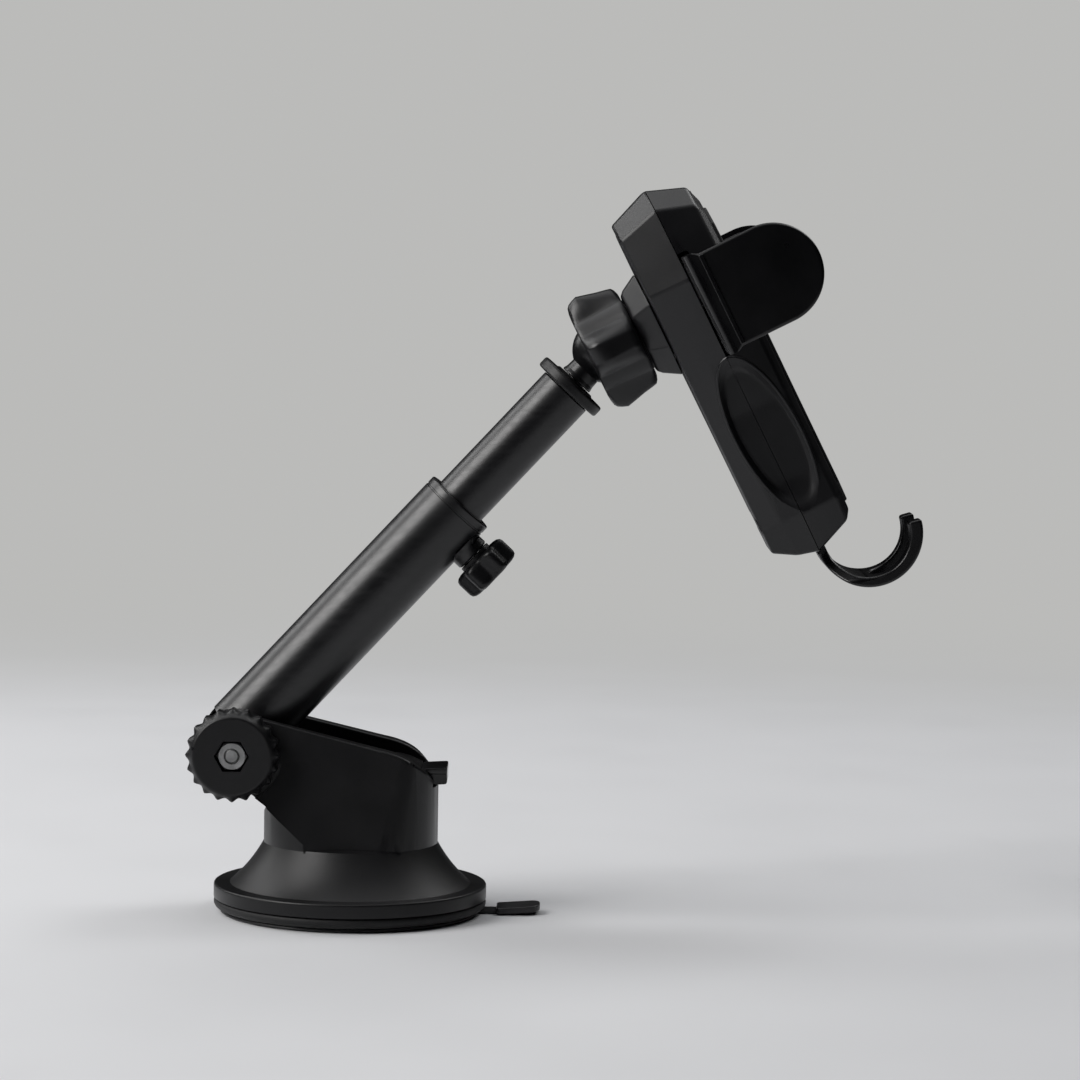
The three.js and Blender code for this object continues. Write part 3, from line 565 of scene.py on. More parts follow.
def pivot_knob():
    """The hinge knob: twenty ridges round the grip, and a flat face with a hexagonal pocket for the nut."""
    def ring(radius, depth):
        def radius_at(angle):
            return radius - depth * abs(sin(KNOB.ridges * angle / 2)) ** 1.5
        return polar(radius_at, KNOB.ridges * 12)
    back, ridge_end, face = -KNOB.back, -KNOB.ridge_front, -KNOB.face
    full, flat = KNOB.radius, KNOB.face_radius
    levels = [  # place on the axis, radius, depth between the ridges
        (back, full - 0.6, 0.7), (back - 0.35, full - 0.1, 0.9), (back - 0.7, full, 0.95),
        (ridge_end + 0.6, full, 0.95), (ridge_end + 0.15, full - 0.25, 0.85),
        (ridge_end - 0.2, full - 0.8, 0.45), (ridge_end - 0.8, full - 1.35, 0.0),
        (face + 0.25, flat + 0.05, 0.0), (face + 0.05, flat - 0.2, 0.0), (face, flat - 0.6, 0.0),
    ]
    knob = stack("y", *[(place, ring(radius, depth)) for place, radius, depth in levels])
    cut(knob, prism("y", hexagon(HEX.pocket), -30, -19.6), rod(PIVOT_BOSS.bolt + 0.3, -30, 0, "y"))
    finish(knob, "hinge_knob", PIVOT, "pivot_knob", "pivot_knob", HOUSING, 40)


def pivot_nut():
    """A hexagon nut: its corners are turned off at a slant on both faces."""
    front, back, slant = -23.0, -19.8, 0.4
    nut = prism("y", hexagon(HEX.across), front, back)
    corner = HEX.across / sqrt(3)
    flat = HEX.across / 2 - 0.1
    turned_off = [(0, front), (flat, front), (corner, front + slant)]
    turned_off += [(corner, back - slant), (flat, back), (0, back)]
    shared(nut, lathe(turned_off, "y"))
    cut(nut, rod(PIVOT_BOSS.bolt + 0.05, -30, 0, "y"))
    soften(nut, 0.08, 2, 25)
    finish(nut, "hex_nut", PIVOT, "pivot_knob", "pivot_nut", STEEL)


def pivot_bolt():
    """A hexagon bolt, with its last threads showing in the nut."""
    radius, pitch, tip = PIVOT_BOSS.bolt, 0.7, -23.2
    profile = [(0, tip), (radius - 0.5, tip), (radius - 0.12, tip + 0.4)]
    for turn in range(9):
        crest = tip + 0.5 + pitch * turn
        profile += [(radius, crest), (radius - 0.3, crest + pitch / 2)]
    profile += [(radius, tip + 7), (radius, 17), (0, 17)]
    shank = lathe(profile, "y", segments=48)
    near, far = PIVOT_BOSS.face + 0.1, PIVOT_BOSS.face + 2.9
    head = prism("y", hexagon(HEX.across), near, far)
    corner = HEX.across / sqrt(3)
    shared(head, lathe([(0, near), (corner, near), (corner, far - 0.4), (3.4, far), (0, far)], "y"))
    bolt = joined(soften(head, 0.1, 2, 25), shank)
    finish(bolt, "hinge_bolt", PIVOT, "base", "pivot_bolt", STEEL)


# ---- arm, along its own +X from the pivot

ON_AXIS = (0, 0, TUBE.offset)


def outer_tube():
    """The fixed tube: an eye round the pivot, a rolled mouth, and a blended boss for the thumb screw."""
    end, radius = TUBE.outer_end, TUBE.outer
    groove = radius - 0.18
    mouth = [(radius, end - 2.6), (groove, end - 2.45), (groove, end - 2.15), (radius, end - 2.0)]
    mouth += curve((radius, end - 0.5), (radius, end), (radius - 0.5, end), 5)
    tube = lathe([(0, 3), (radius, 3)] + mouth + [(0, end)], "x", ON_AXIS, 128)
    eye = rod(TUBE.eye, -radius, radius, "y", segments=128, edge=0.8)
    boss_low = TUBE.offset - CLAMP_SCREW.height
    boss = lathe([
        (0, boss_low), (CLAMP_SCREW.boss - 0.4, boss_low), (CLAMP_SCREW.boss, boss_low + 0.4),
        (CLAMP_SCREW.boss, -7.9), (CLAMP_SCREW.boss + 0.9, -6.6), (0, -6.6),
    ], "z", (CLAMP_SCREW.at, 0, 0), 64)
    joined(tube, eye, boss)
    cut(tube, rod(TUBE.outer_bore, TUBE.eye + 1.6, end + 1, "x", ON_AXIS, 96))
    cut(tube, rod(PIVOT_BOSS.bolt + 0.3, -20, 20, "y"))
    cut(tube, rod(3.3, -15, 0, "z", (CLAMP_SCREW.at, 0, 0)))
    finish(tube, "lower_tube", ARM, "arm", "outer_tube", SATIN)


def thumb_knob():
    """The thumb screw's head: six round lobes with scooped flanks, over a plain collar."""
    top = TUBE.offset - CLAMP_SCREW.height - 0.25
    bottom = TUBE.offset - CLAMP_SCREW.head_end

    def lobes(inset, swing):
        return polar(lambda angle: 7.1 - inset + swing * cos(6 * angle), 144)
    levels = [(0, 1.5, 0.6), (0.25, 0.7, 0.8), (0.8, 0.15, 1.0), (1.6, 0.0, 1.1)]
    height = top - 1 - bottom
    levels += [(height - rise, inset, swing) for rise, inset, swing in reversed(levels)]
    head = stack("z", *[(bottom + rise, lobes(inset, swing)) for rise, inset, swing in levels])
    dish = lathe([(0, bottom - 1), (4.6, bottom - 1), (4.2, bottom + 0.35), (0, bottom + 0.5)], "z")
    cut(head, dish)
    joined(head, rod(4.8, top - 1.2, top, "z", edge=0.25))
    cut(head, rod(2, bottom + 2, top + 1, "z"))
    moved(head, (CLAMP_SCREW.at, 0, 0))
    finish(head, "thumb_grip", ARM, "thumb_screw", "thumb_knob", HOUSING, 40)


def inner_tube():
    start, end, radius, bore = EXTENSION.start, EXTENSION.end, EXTENSION.radius, EXTENSION.bore
    half = rounded([(bore, start), (radius, start), (radius, end), (bore, end)], 0.3, 3)
    tube = lathe(half, "x", ON_AXIS, 112)
    finish(tube, "upper_tube", ARM, "extension", "inner_tube", SATIN)


def end_cap():
    """The plug and thin flange on the tube's end, with a shallow step in the flange's face."""
    end, cap, radius = EXTENSION.end, EXTENSION.cap_end, EXTENSION.cap_radius
    flange = curve((radius - 0.7, end + 0.2), (radius, end + 0.2), (radius, end + 1.0), 5)
    flange += curve((radius, cap - 1.3), (radius, cap - 0.5), (radius - 0.8, cap - 0.5), 5)
    face = [(6.4, cap - 0.5), (6.1, cap - 0.35), (5.6, cap), (2.7, cap)]
    profile = [(2.7, end - 8), (5.9, end - 8), (5.9, end + 0.2)] + flange + face
    plug = lathe(profile, "x", ON_AXIS, 112)
    finish(plug, "tube_flange", ARM, "extension", "tube_end_cap", HOUSING)


def ball_stud():
    """The ball on its tapered neck, screwed into the tube's end cap."""
    at, radius, neck = BALL.at, BALL.radius, BALL.neck
    start = degrees(asin(neck / radius))
    sphere = [(r, h) for h, r in arc((at, 0), radius, 180 - start, 0, 36)]
    sphere[-1] = (0, at + radius)
    seat = EXTENSION.cap_end + 0.2
    neck_side = [(BALL.shank, seat), (neck + 0.5, seat), (neck + 0.1, seat + 1.4), sphere[0]]
    profile = [(0, 121), (BALL.shank, 121)] + rounded(neck_side, 0.4, closed=False) + sphere[1:]
    stud = lathe(profile, "x", ON_AXIS, 96)
    finish(stud, "ball", ARM, "ball_stud", "ball_stud", GLOSS)


# ---- ball head, along the cradle's +X


def ring_nut():
    """The clamping nut: four flared wings that blend into the ring through scooped valleys."""
    stations = [  # place on the axis, ring radius, wing radius
        (-4.5, 10.7, 10.9), (-4.35, 11.0, 12.6), (-4.0, 11.2, 14.0), (-3.4, 11.25, 14.75), (-2.4, 11.3, 15.3),
        (-0.8, 11.3, 15.9), (1.5, 11.35, 15.35), (4.5, 11.45, 14.6), (7.2, 11.6, 14.1), (8.4, 11.7, 13.8),
        (9.0, 11.7, 13.0), (9.4, 11.5, 11.9), (9.5, 11.2, 11.3),
    ]

    def outline(ring, wing):
        def radius_at(angle):
            swell = min(max((cos(4 * angle) + 0.62) / 1.42, 0), 1)      # flat-topped, one for each wing
            return mix(ring, wing, swell ** 1.25 * (1 - 0.12 * swell) / 0.88)
        return polar(radius_at, 240)
    nut = stack("x", *[(place, outline(ring, wing)) for place, ring, wing in stations])
    cut(nut, rod(10.1, -3.5, 20, "x", segments=96))
    cut(nut, lathe([(0, -10), (9.4, -10), (9.4, -4.5), (8.1, -3.6), (8.1, 0), (0, 0)], "x"))
    finish(nut, "wing_nut", CRADLE, "ring_nut", "ring_nut", CRADLE_PLASTIC, 40)


def ball_socket():
    """The threaded cup under the nut, and the eight-sided cone that carries the cradle."""
    seat = BALL.radius + 0.25
    bowl = [(r, h) for h, r in arc((0.1, 0), seat, 90, 0, 20)]
    bowl[-1] = (0, 0.1 + seat)
    thread = []
    for turn in range(6):
        low = 0.7 + 1.4 * turn
        thread += [(9.35, low), (9.8, low + 0.35), (9.8, low + 0.7), (9.35, low + 1.05)]
    profile = bowl + [(0, 14), (9.8, 14), (9.8, 9.6)] + thread[::-1] + [(9.35, 0.1)]
    collar = lathe(profile, "x", segments=96)
    cone_side = [(11.5, 9.8), (12.8, 11), (15.6, 15.5)]
    cone = lathe([(0, 9.8)] + cone_side + [(0, 15.5)], "x", segments=8, turn=22.5)
    soften(cone, 0.45, 3, 20)
    cut(cone, rod(9.2, 0, 14, "x", segments=64))
    finish(joined(collar, cone), "socket_hub", CRADLE, "cradle", "ball_socket", CRADLE_PLASTIC, 30)


# ---- cradle

# Half outlines as (height, half width), from the top end to the tail, at five depths of the body.
HALF = Sizes(
    flank=[(32.4, 12.3), (26.8, 18.8), (7.4, 23.6), (-15, 18.9), (-30, 16.9), (-60, 15.6), (-69.6, 11.3)],
    back=[(28.3, 9), (23.8, 15), (7.4, 19.6), (-15, 15.6), (-30, 13.6), (-60, 12.6), (-66.4, 9.6)],
    parting=[(32.6, 12.5), (27, 19), (7.4, 24), (-15, 20.4), (-30, 18.2), (-60, 16.8), (-71, 12)],
    shoulder=[(28.9, 11.5), (23.8, 17.4), (7.4, 22), (-15, 18.6), (-30, 16.6), (-60, 15.2), (-67, 11)],
    front=[(24.2, 10.4), (19.8, 15.6), (7.2, 19.8), (-15, 16.6), (-30, 14.8), (-59, 13.4), (-64.6, 9.8)],
)
FLANK = [26.4, 26.4, 26.2, 22.3, 20.8, 21.2, 21.6]     # how far forward the back's bevel ends, point by point
TAIL = -20          # below this height the walls are thicker, to leave depth for the side scoops
SEAM = 0.07         # half of the gap between the two shells
SCREWS = [(9, 24.6), (-9, 24.6), (9.8, -58), (-9.8, -58)]
RIB = Sizes(half=3, heights=(-13, 13), front=27.42, posts=(-15.2, 12.0), post_front=30.0)    # inside the back


def inset(half, wall, tail_wall):
    """A whole outline from its half, moved inwards by the wall, and by more along the tail."""
    result = []
    for i, (height, width) in enumerate(half):
        thickness = tail_wall if height < TAIL else wall
        end = -wall if i < 2 else wall if i > len(half) - 3 else 0
        result.append((height + end, width - thickness))
    return mirrored(result)


def along(points, height):
    """The value at a height, read off (height, value) pairs such as a half outline."""
    for (z0, y0), (z1, y1) in zip(points, points[1:]):
        if z1 <= height <= z0:
            return mix(y0, y1, (height - z0) / (z1 - z0))
    return points[-1][1]


def smooth_step(value, start, end):
    t = min(max((value - start) / (end - start), 0), 1)
    return t * t * (3 - 2 * t)


def side_face(x, z):
    """Half width of the closed body's side wall at a point."""
    ridge, shoulder = along(HALF.parting, z), along(HALF.shoulder, z)
    back, flank = along(HALF.back, z), along(HALF.flank, z)
    flank_x = along([(height, forward) for (height, _), forward in zip(HALF.flank, FLANK)], z)
    if x > SHELL.parting:
        return mix(ridge, shoulder, (x - SHELL.parting) / (SHELL.shoulder - SHELL.parting))
    if x > flank_x:
        return mix(flank, ridge, (x - flank_x) / (SHELL.parting - flank_x))
    return mix(back, flank, (x - SHELL.back) / (flank_x - SHELL.back))


SCOOP = Sizes(x=28.3, z=-37.5, half_x=8.2, half_z=22.5, slant=1.2, depth=1.7)


def scoop_point(share, angle):
    """Place (x, z) on the scoop's slanted oval, or on a smaller or larger one inside or round it."""
    x = SCOOP.x + SCOOP.half_x * share * cos(angle) - SCOOP.slant * share * sin(angle)
    return x, SCOOP.z + SCOOP.half_z * share * sin(angle)


def scoop(side):
    """Fills the long oval dish in one side of the tail: steep under the jaw, and running out at the tail."""
    rings, spokes, least_depth = 24, 96, 0.35
    floor, lid = [], []
    for i in range(rings + 1):
        share = 1.06 * i / rings
        for k in range(spokes):
            x, z = scoop_point(share, 2 * pi * k / spokes)
            wall = side_face(x, z)
            flat = along(HALF.parting, z) - SCOOP.depth - 0.9
            dip = smooth_step(1.0 - share, 0.0, 0.18) * smooth_step(z, -63, -50)
            outside = wall + 0.35 * max(share - 1, 0) / 0.06
            floor.append((x, side * mix(outside, min(flat, wall - least_depth), dip), z))
            lid.append((x, side * 30, z))
    faces = ring_faces(rings, spokes) + ring_faces(rings, spokes, len(floor))
    last = rings * spokes
    for k in range(spokes):
        a, b = last + k, last + (k + 1) % spokes
        faces.append((a, b, b + len(floor), a + len(floor)))
    return new_object(floor + lid, faces)


def scoop_bead(side, x_range):
    """The fine raised bead round a scoop, sinking into the wall towards the tail."""
    steps, around, radius = 120, 10, 0.5
    points = []
    for k in range(steps):
        angle = 2 * pi * k / steps
        x, z = scoop_point(1, angle)
        sunk = 1.4 * radius * (1 - smooth_step(z, -60, -48))
        for b in range(around):
            swing = 2 * pi * b / around
            outward = radius * cos(swing)
            y = side * (side_face(x, z) - sunk + radius * sin(swing))
            points.append((x + outward * cos(angle), y, z + outward * sin(angle)))
    faces = []
    for k in range(steps):
        here, there = k * around, (k + 1) % steps * around
        for b in range(around):
            c = (b + 1) % around
            faces.append((here + b, there + b, there + c, here + c))
    return shared(new_object(points, faces), block(x_range, (-40, 40), (-80, 10)))


def stem_slot():
    """The opening at the tail's end that the foot's stem slides through."""
    half = HOOK.stem + 0.3
    return block((26.4, 30), (-half, half), (-80, -FAR))


def away_from_seam(middle, edge):
    return abs(middle.x - SHELL.parting) > 0.5


def soften_shell(outer):
    """Rounds a shell's outer edges, and breaks its edge along the seam."""
    soften(outer, 0.7, 4, 12, away_from_seam)
    soften(outer, 0.12, 2, 40, lambda middle, edge: not away_from_seam(middle, edge))


def screw_rods(radius, start, end, segments=32):
    return [rod(radius, start, end, "x", (0, y, z), segments) for y, z in SCREWS]


def seam_lip():
    """A rim inside the back shell that stands past the seam, so that no light passes between the shells."""
    outside, inside = (2.15, 4.75), (3.1, 5.7)      # wall and tail wall that each outline is set in by
    lip = prism("x", inset(HALF.parting, *outside), 25.6, 28.4)
    cut(lip, prism("x", inset(HALF.parting, *inside), 20, 40))
    cut(lip, block((SHELL.parting - 0.2, 40), (-40, 40), (-14.8, 14.8)))
    return cut(lip, *screw_rods(3.4, SHELL.parting - SEAM, 40))


def back_shell():
    """The rear half: a flat back with bevelled flanks, screw wells, and half of each side scoop."""
    back, parting = SHELL.back, SHELL.parting - SEAM
    count = len(FLANK) * 2
    places = [back] * count, FLANK + FLANK[::-1], [parting] * count
    outlines = (mirrored(half) for half in (HALF.back, HALF.flank, HALF.parting))
    outer = loft([[(x, y, z) for x, (y, z) in zip(xs, outline)] for xs, outline in zip(places, outlines)])
    soften_shell(outer)
    hollow = stack("x", (back + 2, inset(HALF.back, 1.6, 2.4)),
                   (SHELL.parting + 1, inset(HALF.parting, 2.3, 4.9)))
    cut(outer, hollow)
    joined(outer, seam_lip(), block((back + 1, RIB.front), (-RIB.half, RIB.half), RIB.heights))
    for z in RIB.posts:
        joined(outer, block((back + 1, RIB.post_front), (-RIB.half, RIB.half), (z, z + 3.2)))
    joined(outer, *screw_rods(3.2, back + 1, parting))
    seat = back + 3.4
    well = [(0, 10), (3.3, 10), (3.3, back), (2.9, back + 0.4), (2.9, seat)]
    well += [(1.75, seat), (1.75, 40), (0, 40)]
    for y, z in SCREWS:
        cut(outer, lathe(well, "x", (0, y, z), 40))
    cut(outer, scoop(-1), scoop(1))
    for side in (-1, 1):
        joined(outer, scoop_bead(side, (10, parting)))
    cut(outer, stem_slot())
    for y, z in arc((0, 0), 10, 0, 240, 2):
        cut(outer, rod(1.6, 10, 20, "x", (0, y, z), 24))
    finish(outer, "cradle_back", CRADLE, "cradle", "back_shell", CRADLE_PLASTIC, 30)


def front_shell():
    """The front half: bevelled shoulders round a flat face, open at the sides for the clamp arms."""
    parting = SHELL.parting + SEAM
    outer = stack("x", (parting, mirrored(HALF.parting)), (SHELL.shoulder, mirrored(HALF.shoulder)),
                  (SHELL.front, mirrored(HALF.front)))
    soften_shell(outer)
    hollow = stack("x", (parting - 1, inset(HALF.parting, 2.0, 4.6)),
                   (SHELL.front - 2, inset(HALF.shoulder, 2.8, 3.4)))
    cut(outer, hollow)
    joined(outer, *screw_rods(3, parting, SHELL.front - 1))
    cut(outer, *screw_rods(1.6, 20, 35.5, 24))
    cut(outer, scoop(-1), scoop(1))
    for side in (-1, 1):
        joined(outer, scoop_bead(side, (parting, 50)))
    opening = rounded([(20, -14.5), (30.2, -14.5), (30.2, 14.5), (20, 14.5)], [0, 1, 1, 0])
    cut(outer, prism("y", opening, -40, 40), stem_slot())
    finish(outer, "cradle_front", CRADLE, "cradle", "front_shell", CRADLE_PLASTIC, 30)


def front_pad():
    """The soft pad that the phone's back rests on, with a frame round shallow cross grooves."""
    low, high = SHELL.front + 0.05, SHELL.front + 0.8
    floor, above, pitch = high - 0.3, high + 0.2, 3.8
    pad = stack("x", (low, inset(HALF.front, 2, 2)), (high, inset(HALF.front, 2.3, 2.3)))
    soften(pad, 0.22, 3, 20)
    for row in range(20):
        z = 15 - pitch * row
        half_width = 9.5 if z < -12 else 12.5
        groove = [(floor, z - 0.2), (above, z - 0.6), (above, z + 0.6), (floor, z + 0.2)]
        cut(pad, prism("y", groove, -half_width, half_width))
    finish(pad, "rest_pad", CRADLE, "cradle", "front_pad", RUBBER)


def shell_screws():
    """Four self-tapping screws with cross recesses in their pan heads."""
    low, pitch = SHELL.back + 1.6, 1.2
    for number, (y, z) in enumerate(SCREWS, 1):
        head = curve((0, low), (2.3, low), (2.6, low + 1.1), 8) + [(2.6, low + 1.6)]
        shank = []
        for turn in range(9):
            shank += [(1.4, low + 2.2 + pitch * turn), (1.1, low + 2.8 + pitch * turn)]
        screw = lathe(head + [(1.2, low + 1.6)] + shank + [(0.6, 33.6), (0, 34.5)], "x", segments=32)
        for turn in (20, 110):
            cut(screw, moved(block((low - 1, low + 1.0), (-1.5, 1.5), (-0.3, 0.3)), turn=turn))
        moved(screw, (0, y, z))
        finish(screw, f"case_screw_{number}", CRADLE, "cradle", f"shell_screw_{number}", STEEL)


def mirror_far(obj, side):
    """Turns a far-side piece into its near-side mirror image, for side -1."""
    if side < 0:
        obj.data.transform(Matrix.Diagonal((1, -1, 1, 1)))
        obj.data.flip_normals()


def clamp_arm(side, word):
    """A side jaw: a tongue into the body, a plate, and a bend up to a round paddle with a bevelled rim."""
    inner, outer, root = PADDLE.inner, PADDLE.outer, PADDLE.root
    low, high, radius, centre = PADDLE.low, PADDLE.high, PADDLE.radius, PADDLE.centre
    face, end, start = outer - 0.3, centre + radius + 1, 27.6
    bend = [(start, low), (face, low), (face, end), (inner, end), (inner, high), (start, high)]
    body = prism("z", rounded(bend, [0, 1.6, 0, 0, 1.2, 0], 8), -root, root)
    body.data.transform(Matrix(((0, 1, 0), (1, 0, 0), (0, 0, 1))).to_4x4())     # swaps x and y
    paddle = [(20, -root), (high, -root), (high + 1.4, -radius), (centre, -radius)]
    paddle += arc((centre, 0), radius, -90, 90, 48)[1:]
    paddle += [(high + 1.4, radius), (high, root), (20, root)]
    shared(body, prism("y", paddle, 20, FAR))
    soften(body, 0.9, 4, 40, lambda middle, edge: middle.y > face - 0.1 and middle.x > high)
    soften(body, 0.3, 2, 40, lambda middle, edge: middle.y < face - 1.2 and middle.x < high)
    rib = block((31.0, 32.3), (face - 1, outer), (-12.3, 12.3))
    joined(body, soften(rib, 0.28, 3))
    middle_z = -side * 6.5
    tongue = block((low, high), (-1, 28.5), (middle_z - 5, middle_z + 5))
    pin = rod(1.4, high - 0.5, 32.1, "x", (0, 11, middle_z), 32, 0.2)
    joined(body, soften(tongue, 0.25, 2), pin)
    mirror_far(body, side)
    finish(body, f"jaw_{word}", CRADLE, f"clamp_{word}", f"clamp_arm_{word}", GLOSS, 38)


def arm_pad(side, word):
    """The ribbed rubber facing inside a jaw."""
    reach, low, pitch = PADDLE.radius - 1.4, 33, 2.4
    back, face = PADDLE.inner - 0.05, PADDLE.inner - 1
    outline = [(low, -reach), (PADDLE.centre, -reach)]
    outline += arc((PADDLE.centre, 0), reach, -90, 90, 36)[1:] + [(low, reach)]
    pad = prism("y", outline, face, back)
    soften(pad, 0.25, 3, 40, lambda middle, edge: middle.y < back - 0.3)
    floor, above = face + 0.45, face - 0.2
    for row in range(9):
        z = pitch * (row - 4)
        groove = [(floor, z - 0.25), (above, z - 0.6), (above, z + 0.6), (floor, z + 0.25)]
        cut(pad, prism("x", groove, 20, 70))
    mirror_far(pad, side)
    finish(pad, f"jaw_pad_{word}", CRADLE, f"clamp_{word}", f"arm_pad_{word}", RUBBER)


def foot_hook():
    """The sprung foot: a flat stem that flares into two curled prongs, thicker towards their tips."""
    x, z, radius, sweep = HOOK.x, HOOK.z, HOOK.radius, HOOK.sweep
    steps, thin, thick, stem_top = 48, 2.5, 3.6, -33
    outside = arc((x, z), radius, 180, 180 + sweep, steps)
    inside = []
    for i in range(steps + 1):
        angle = radians(180 + sweep * i / steps)
        inner = radius - mix(thin, thick, (i / steps) ** 1.5)
        inside.append((x + inner * cos(angle), z + inner * sin(angle)))
    outline = [(x - radius, stem_top)] + outside + inside[::-1] + [(x - radius + thin, stem_top)]
    strip = prism("y", outline, -HOOK.half_width, HOOK.half_width)
    half, stem, gap = HOOK.half_width, HOOK.stem, HOOK.gap
    flare = [(-half, -100), (half, -100), (half, -82), (stem, -74), (stem, 0), (-stem, 0), (-stem, -74),
             (-half, -82)]
    plan = prism("x", rounded(flare, [0, 0, 4, 4, 0, 0, 4, 4], 6), 20, 45)
    shared(strip, joined(plan, block((40, 70), (-half, half), (-100, -50))))
    mouth = rounded([(37, -gap), (70, -gap), (70, gap), (37, gap)], [5, 0, 0, 5], 8)
    cut(strip, prism("z", mouth, -100, -FAR))
    soften(strip, 0.75, 4, 35, lambda middle, edge: middle.z < -66)
    for place in (-37, -49):
        cut(strip, rod(1.3, 20, 40, "x", (0, 0, place), 24))
    finish(strip, "foot_prongs", CRADLE, "foot", "foot_hook", GLOSS, 38)


# ---- carried-over CAD pieces

CARRIED = {
    "lever_pin": (STEEL, 0.3), "friction_washer_near": (RUBBER, 0.1), "friction_washer_far": (RUBBER, 0.1),
    "plunger": (GLOSS, 0.35), "tube_bushing": (GLOSS, 0.1), "clamp_insert": (BRASS, 0.15),
    "clamp_screw": (STEEL, 0.3), "ball_liner": (GLOSS, 0.15), "return_spring": (STEEL, 0.0),
    "slider_plate": (GLOSS, 0.3),
}
CARRIED.update({f"hub_screw_{number}": (STEEL, 0.2) for number in (1, 2, 3)})
CARRIED.update({f"foot_screw_{number}": (STEEL, 0.2) for number in (1, 2)})


def carried_nodes():
    """The hidden works keep their CAD shape, with real materials and softened edges."""
    for name, (material, edge) in CARRIED.items():
        node = frame["nodes"][name]
        for slot in node.material_slots:
            slot.material = material
        if edge > 0:
            bevel = node.modifiers.new("edges", "BEVEL")
            bevel.width = edge * 0.001
            bevel.segments = 2
            bevel.limit_method = "ANGLE"
            bevel.angle_limit = radians(40)


# ---- studio

CAMERA = Sizes(x=0.0488, y=-0.973, z=0.1738, pitch=4.4, roll=0.9, lens=123.77)


def camera():
    """A long lens a metre in front, level with the head, looking slightly down."""
    pitch, roll = radians(CAMERA.pitch), radians(CAMERA.roll)
    forward = Vector((0, cos(pitch), -sin(pitch)))
    level_up = Vector((0, sin(pitch), cos(pitch)))
    right = Vector((1, 0, 0)) * cos(roll) + level_up * sin(roll)
    up = level_up * cos(roll) - Vector((1, 0, 0)) * sin(roll)
    data = bpy.data.cameras.new("camera")
    data.lens = CAMERA.lens
    data.sensor_width = 36
    data.clip_start = 0.05
    data.clip_end = 20
    obj = bpy.data.objects.new("camera", data)
    bpy.context.scene.collection.objects.link(obj)
    turn = Matrix((right, up, -forward)).transposed().to_4x4()
    obj.matrix_world = Matrix.Translation((CAMERA.x, CAMERA.y, CAMERA.z)) @ turn
    bpy.context.scene.camera = obj


def studio_floor():
    """A pale floor, flat round the object, that sweeps up into the walls of a wide open bowl."""
    flat, sweep, reach, wall_top, steps, segments = 0.62, 2.2, 3.4, 3.2, 40, 96
    profile = [(flat, -0.0001)]
    for step in range(1, steps + 1):
        radius = flat + (reach - flat) * step / steps
        profile.append((radius, min((radius - flat) ** 2 / sweep, wall_top)))
    vertices = []
    faces = []
    count = len(profile)
    for s in range(segments):
        angle = 2 * pi * s / segments
        vertices += [(r * cos(angle), r * sin(angle), h) for r, h in profile]
        here, there = s * count, (s + 1) % segments * count
        faces += [(here + i, there + i, there + i + 1, here + i + 1) for i in range(count - 1)]
    faces.append([s * count for s in range(segments)])
    floor = new_object(vertices, faces)
    floor.name = "studio_floor"
    floor.data.polygons.foreach_set("use_smooth", [True] * len(floor.data.polygons))
    floor.data.materials.append(floor_material())


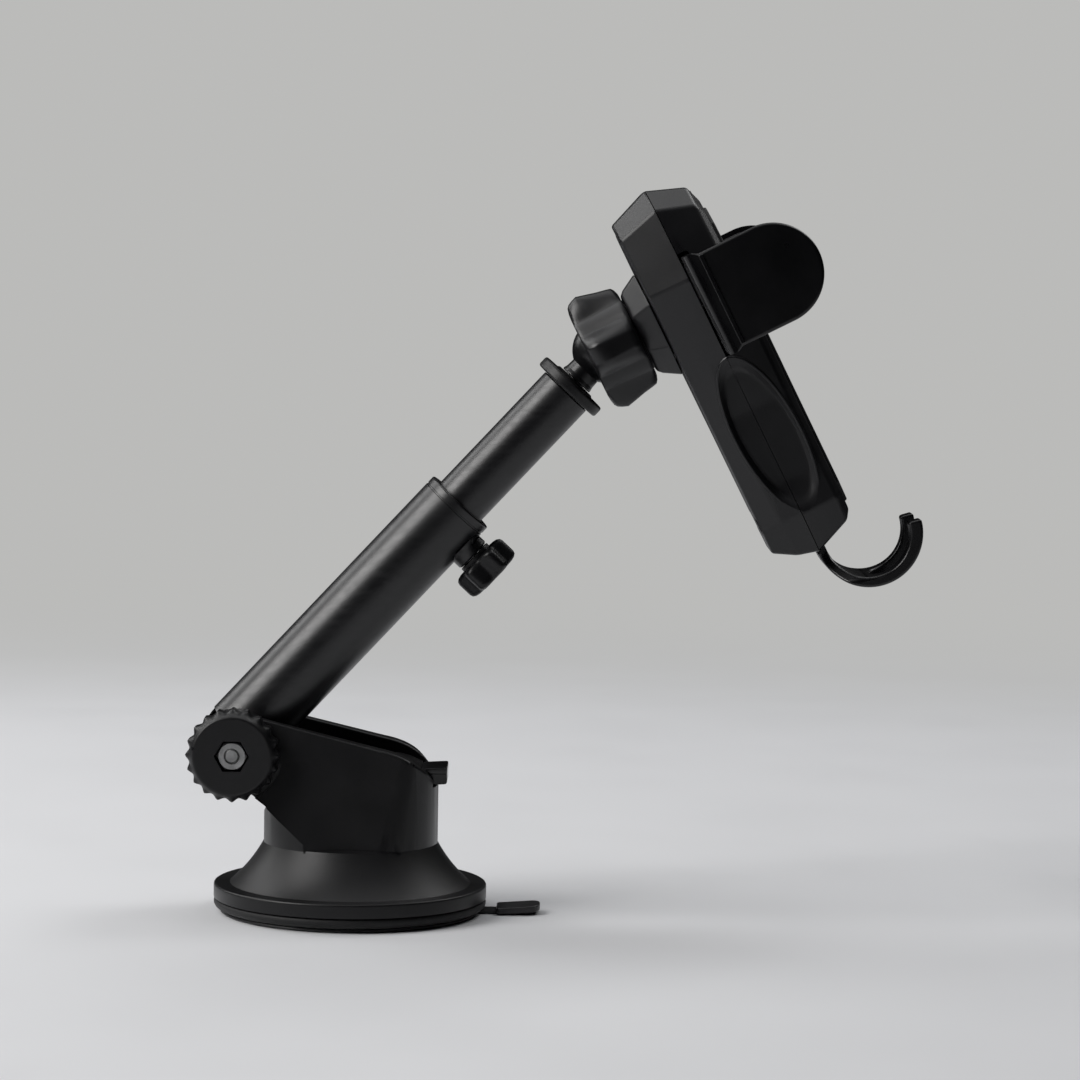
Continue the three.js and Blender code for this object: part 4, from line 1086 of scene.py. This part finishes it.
def floor_material():
    """Pale paper, lit near the object. Far out it is an even pale backdrop that throws no light back."""
    shader = Shader("pale studio floor", {"Specular IOR Level": 0.15})
    shader.colour(shader.noise(3, 2), (0.63, 0.635, 0.65), (0.65, 0.655, 0.67))
    shader.roughness(shader.ranged(shader.noise(20, 3), 0.6, 0.75))
    flat = shader.node("VectorMath", {0: shader.place, 1: (1, 1, 0)}, operation="MULTIPLY")
    radius = shader.node("VectorMath", {0: flat.outputs[0]}, operation="LENGTH").outputs["Value"]
    far = shader.node("MapRange", {"Value": radius, "From Min": 0.36, "From Max": 0.8},
                      interpolation_type="SMOOTHSTEP").outputs[0]
    seen = shader.node("LightPath").outputs["Is Camera Ray"]
    glow = shader.node("Emission", {"Color": (0.497, 0.497, 0.488, 1), "Strength": seen})
    blend = shader.node("MixShader", {0: far, 1: shader.shader.outputs[0], 2: glow.outputs[0]})
    output = shader.tree.nodes["Material Output"]
    shader.tree.links.new(blend.outputs[0], output.inputs["Surface"])
    return shader.material


def area_light(name, place, target, size, power, colour=(1, 1, 1)):
    data = bpy.data.lights.new(name, "AREA")
    data.shape = "RECTANGLE"
    data.size, data.size_y = size
    data.energy = power
    data.color = colour
    obj = bpy.data.objects.new(name, data)
    bpy.context.scene.collection.objects.link(obj)
    obj.location = place
    obj.rotation_euler = (Vector(target) - Vector(place)).to_track_quat("-Z", "Y").to_euler()


def lights():
    """Soft daylight all round, a key at the upper left in front, two boxes behind, and one overhead."""
    world = bpy.data.worlds.new("soft daylight")
    world.use_nodes = True
    background = world.node_tree.nodes["Background"]
    background.inputs["Color"].default_value = (0.93, 0.96, 1.0, 1)
    background.inputs["Strength"].default_value = 0.14
    bpy.context.scene.world = world
    area_light("key", (-0.85, -0.36, 0.78), (0.02, 0, 0.08), (0.7, 0.7), 12.0, (1.0, 0.99, 0.98))
    area_light("left rim", (-0.66, 0.42, 0.7), (0.0, 0, 0.08), (0.35, 0.85), 3.2)
    area_light("side", (0.62, 0.5, 0.95), (0.02, 0, 0.05), (0.5, 0.5), 3.4)
    area_light("top", (0.1, 0.25, 1.5), (0.03, 0, 0.1), (1.3, 0.9), 5.0)


camera()
studio_floor()
lights()
bpy.context.scene.view_settings.view_transform = "Standard"

base_housing()
suction_cup()
gel_pad()
cam_lever()
pivot_knob()
pivot_nut()
pivot_bolt()
outer_tube()
thumb_knob()
inner_tube()
end_cap()
ball_stud()
ring_nut()
ball_socket()
back_shell()
front_shell()
front_pad()
shell_screws()
for jaw_side, jaw_word in ((-1, "near"), (1, "far")):
    clamp_arm(jaw_side, jaw_word)
    arm_pad(jaw_side, jaw_word)
foot_hook()
carried_nodes()
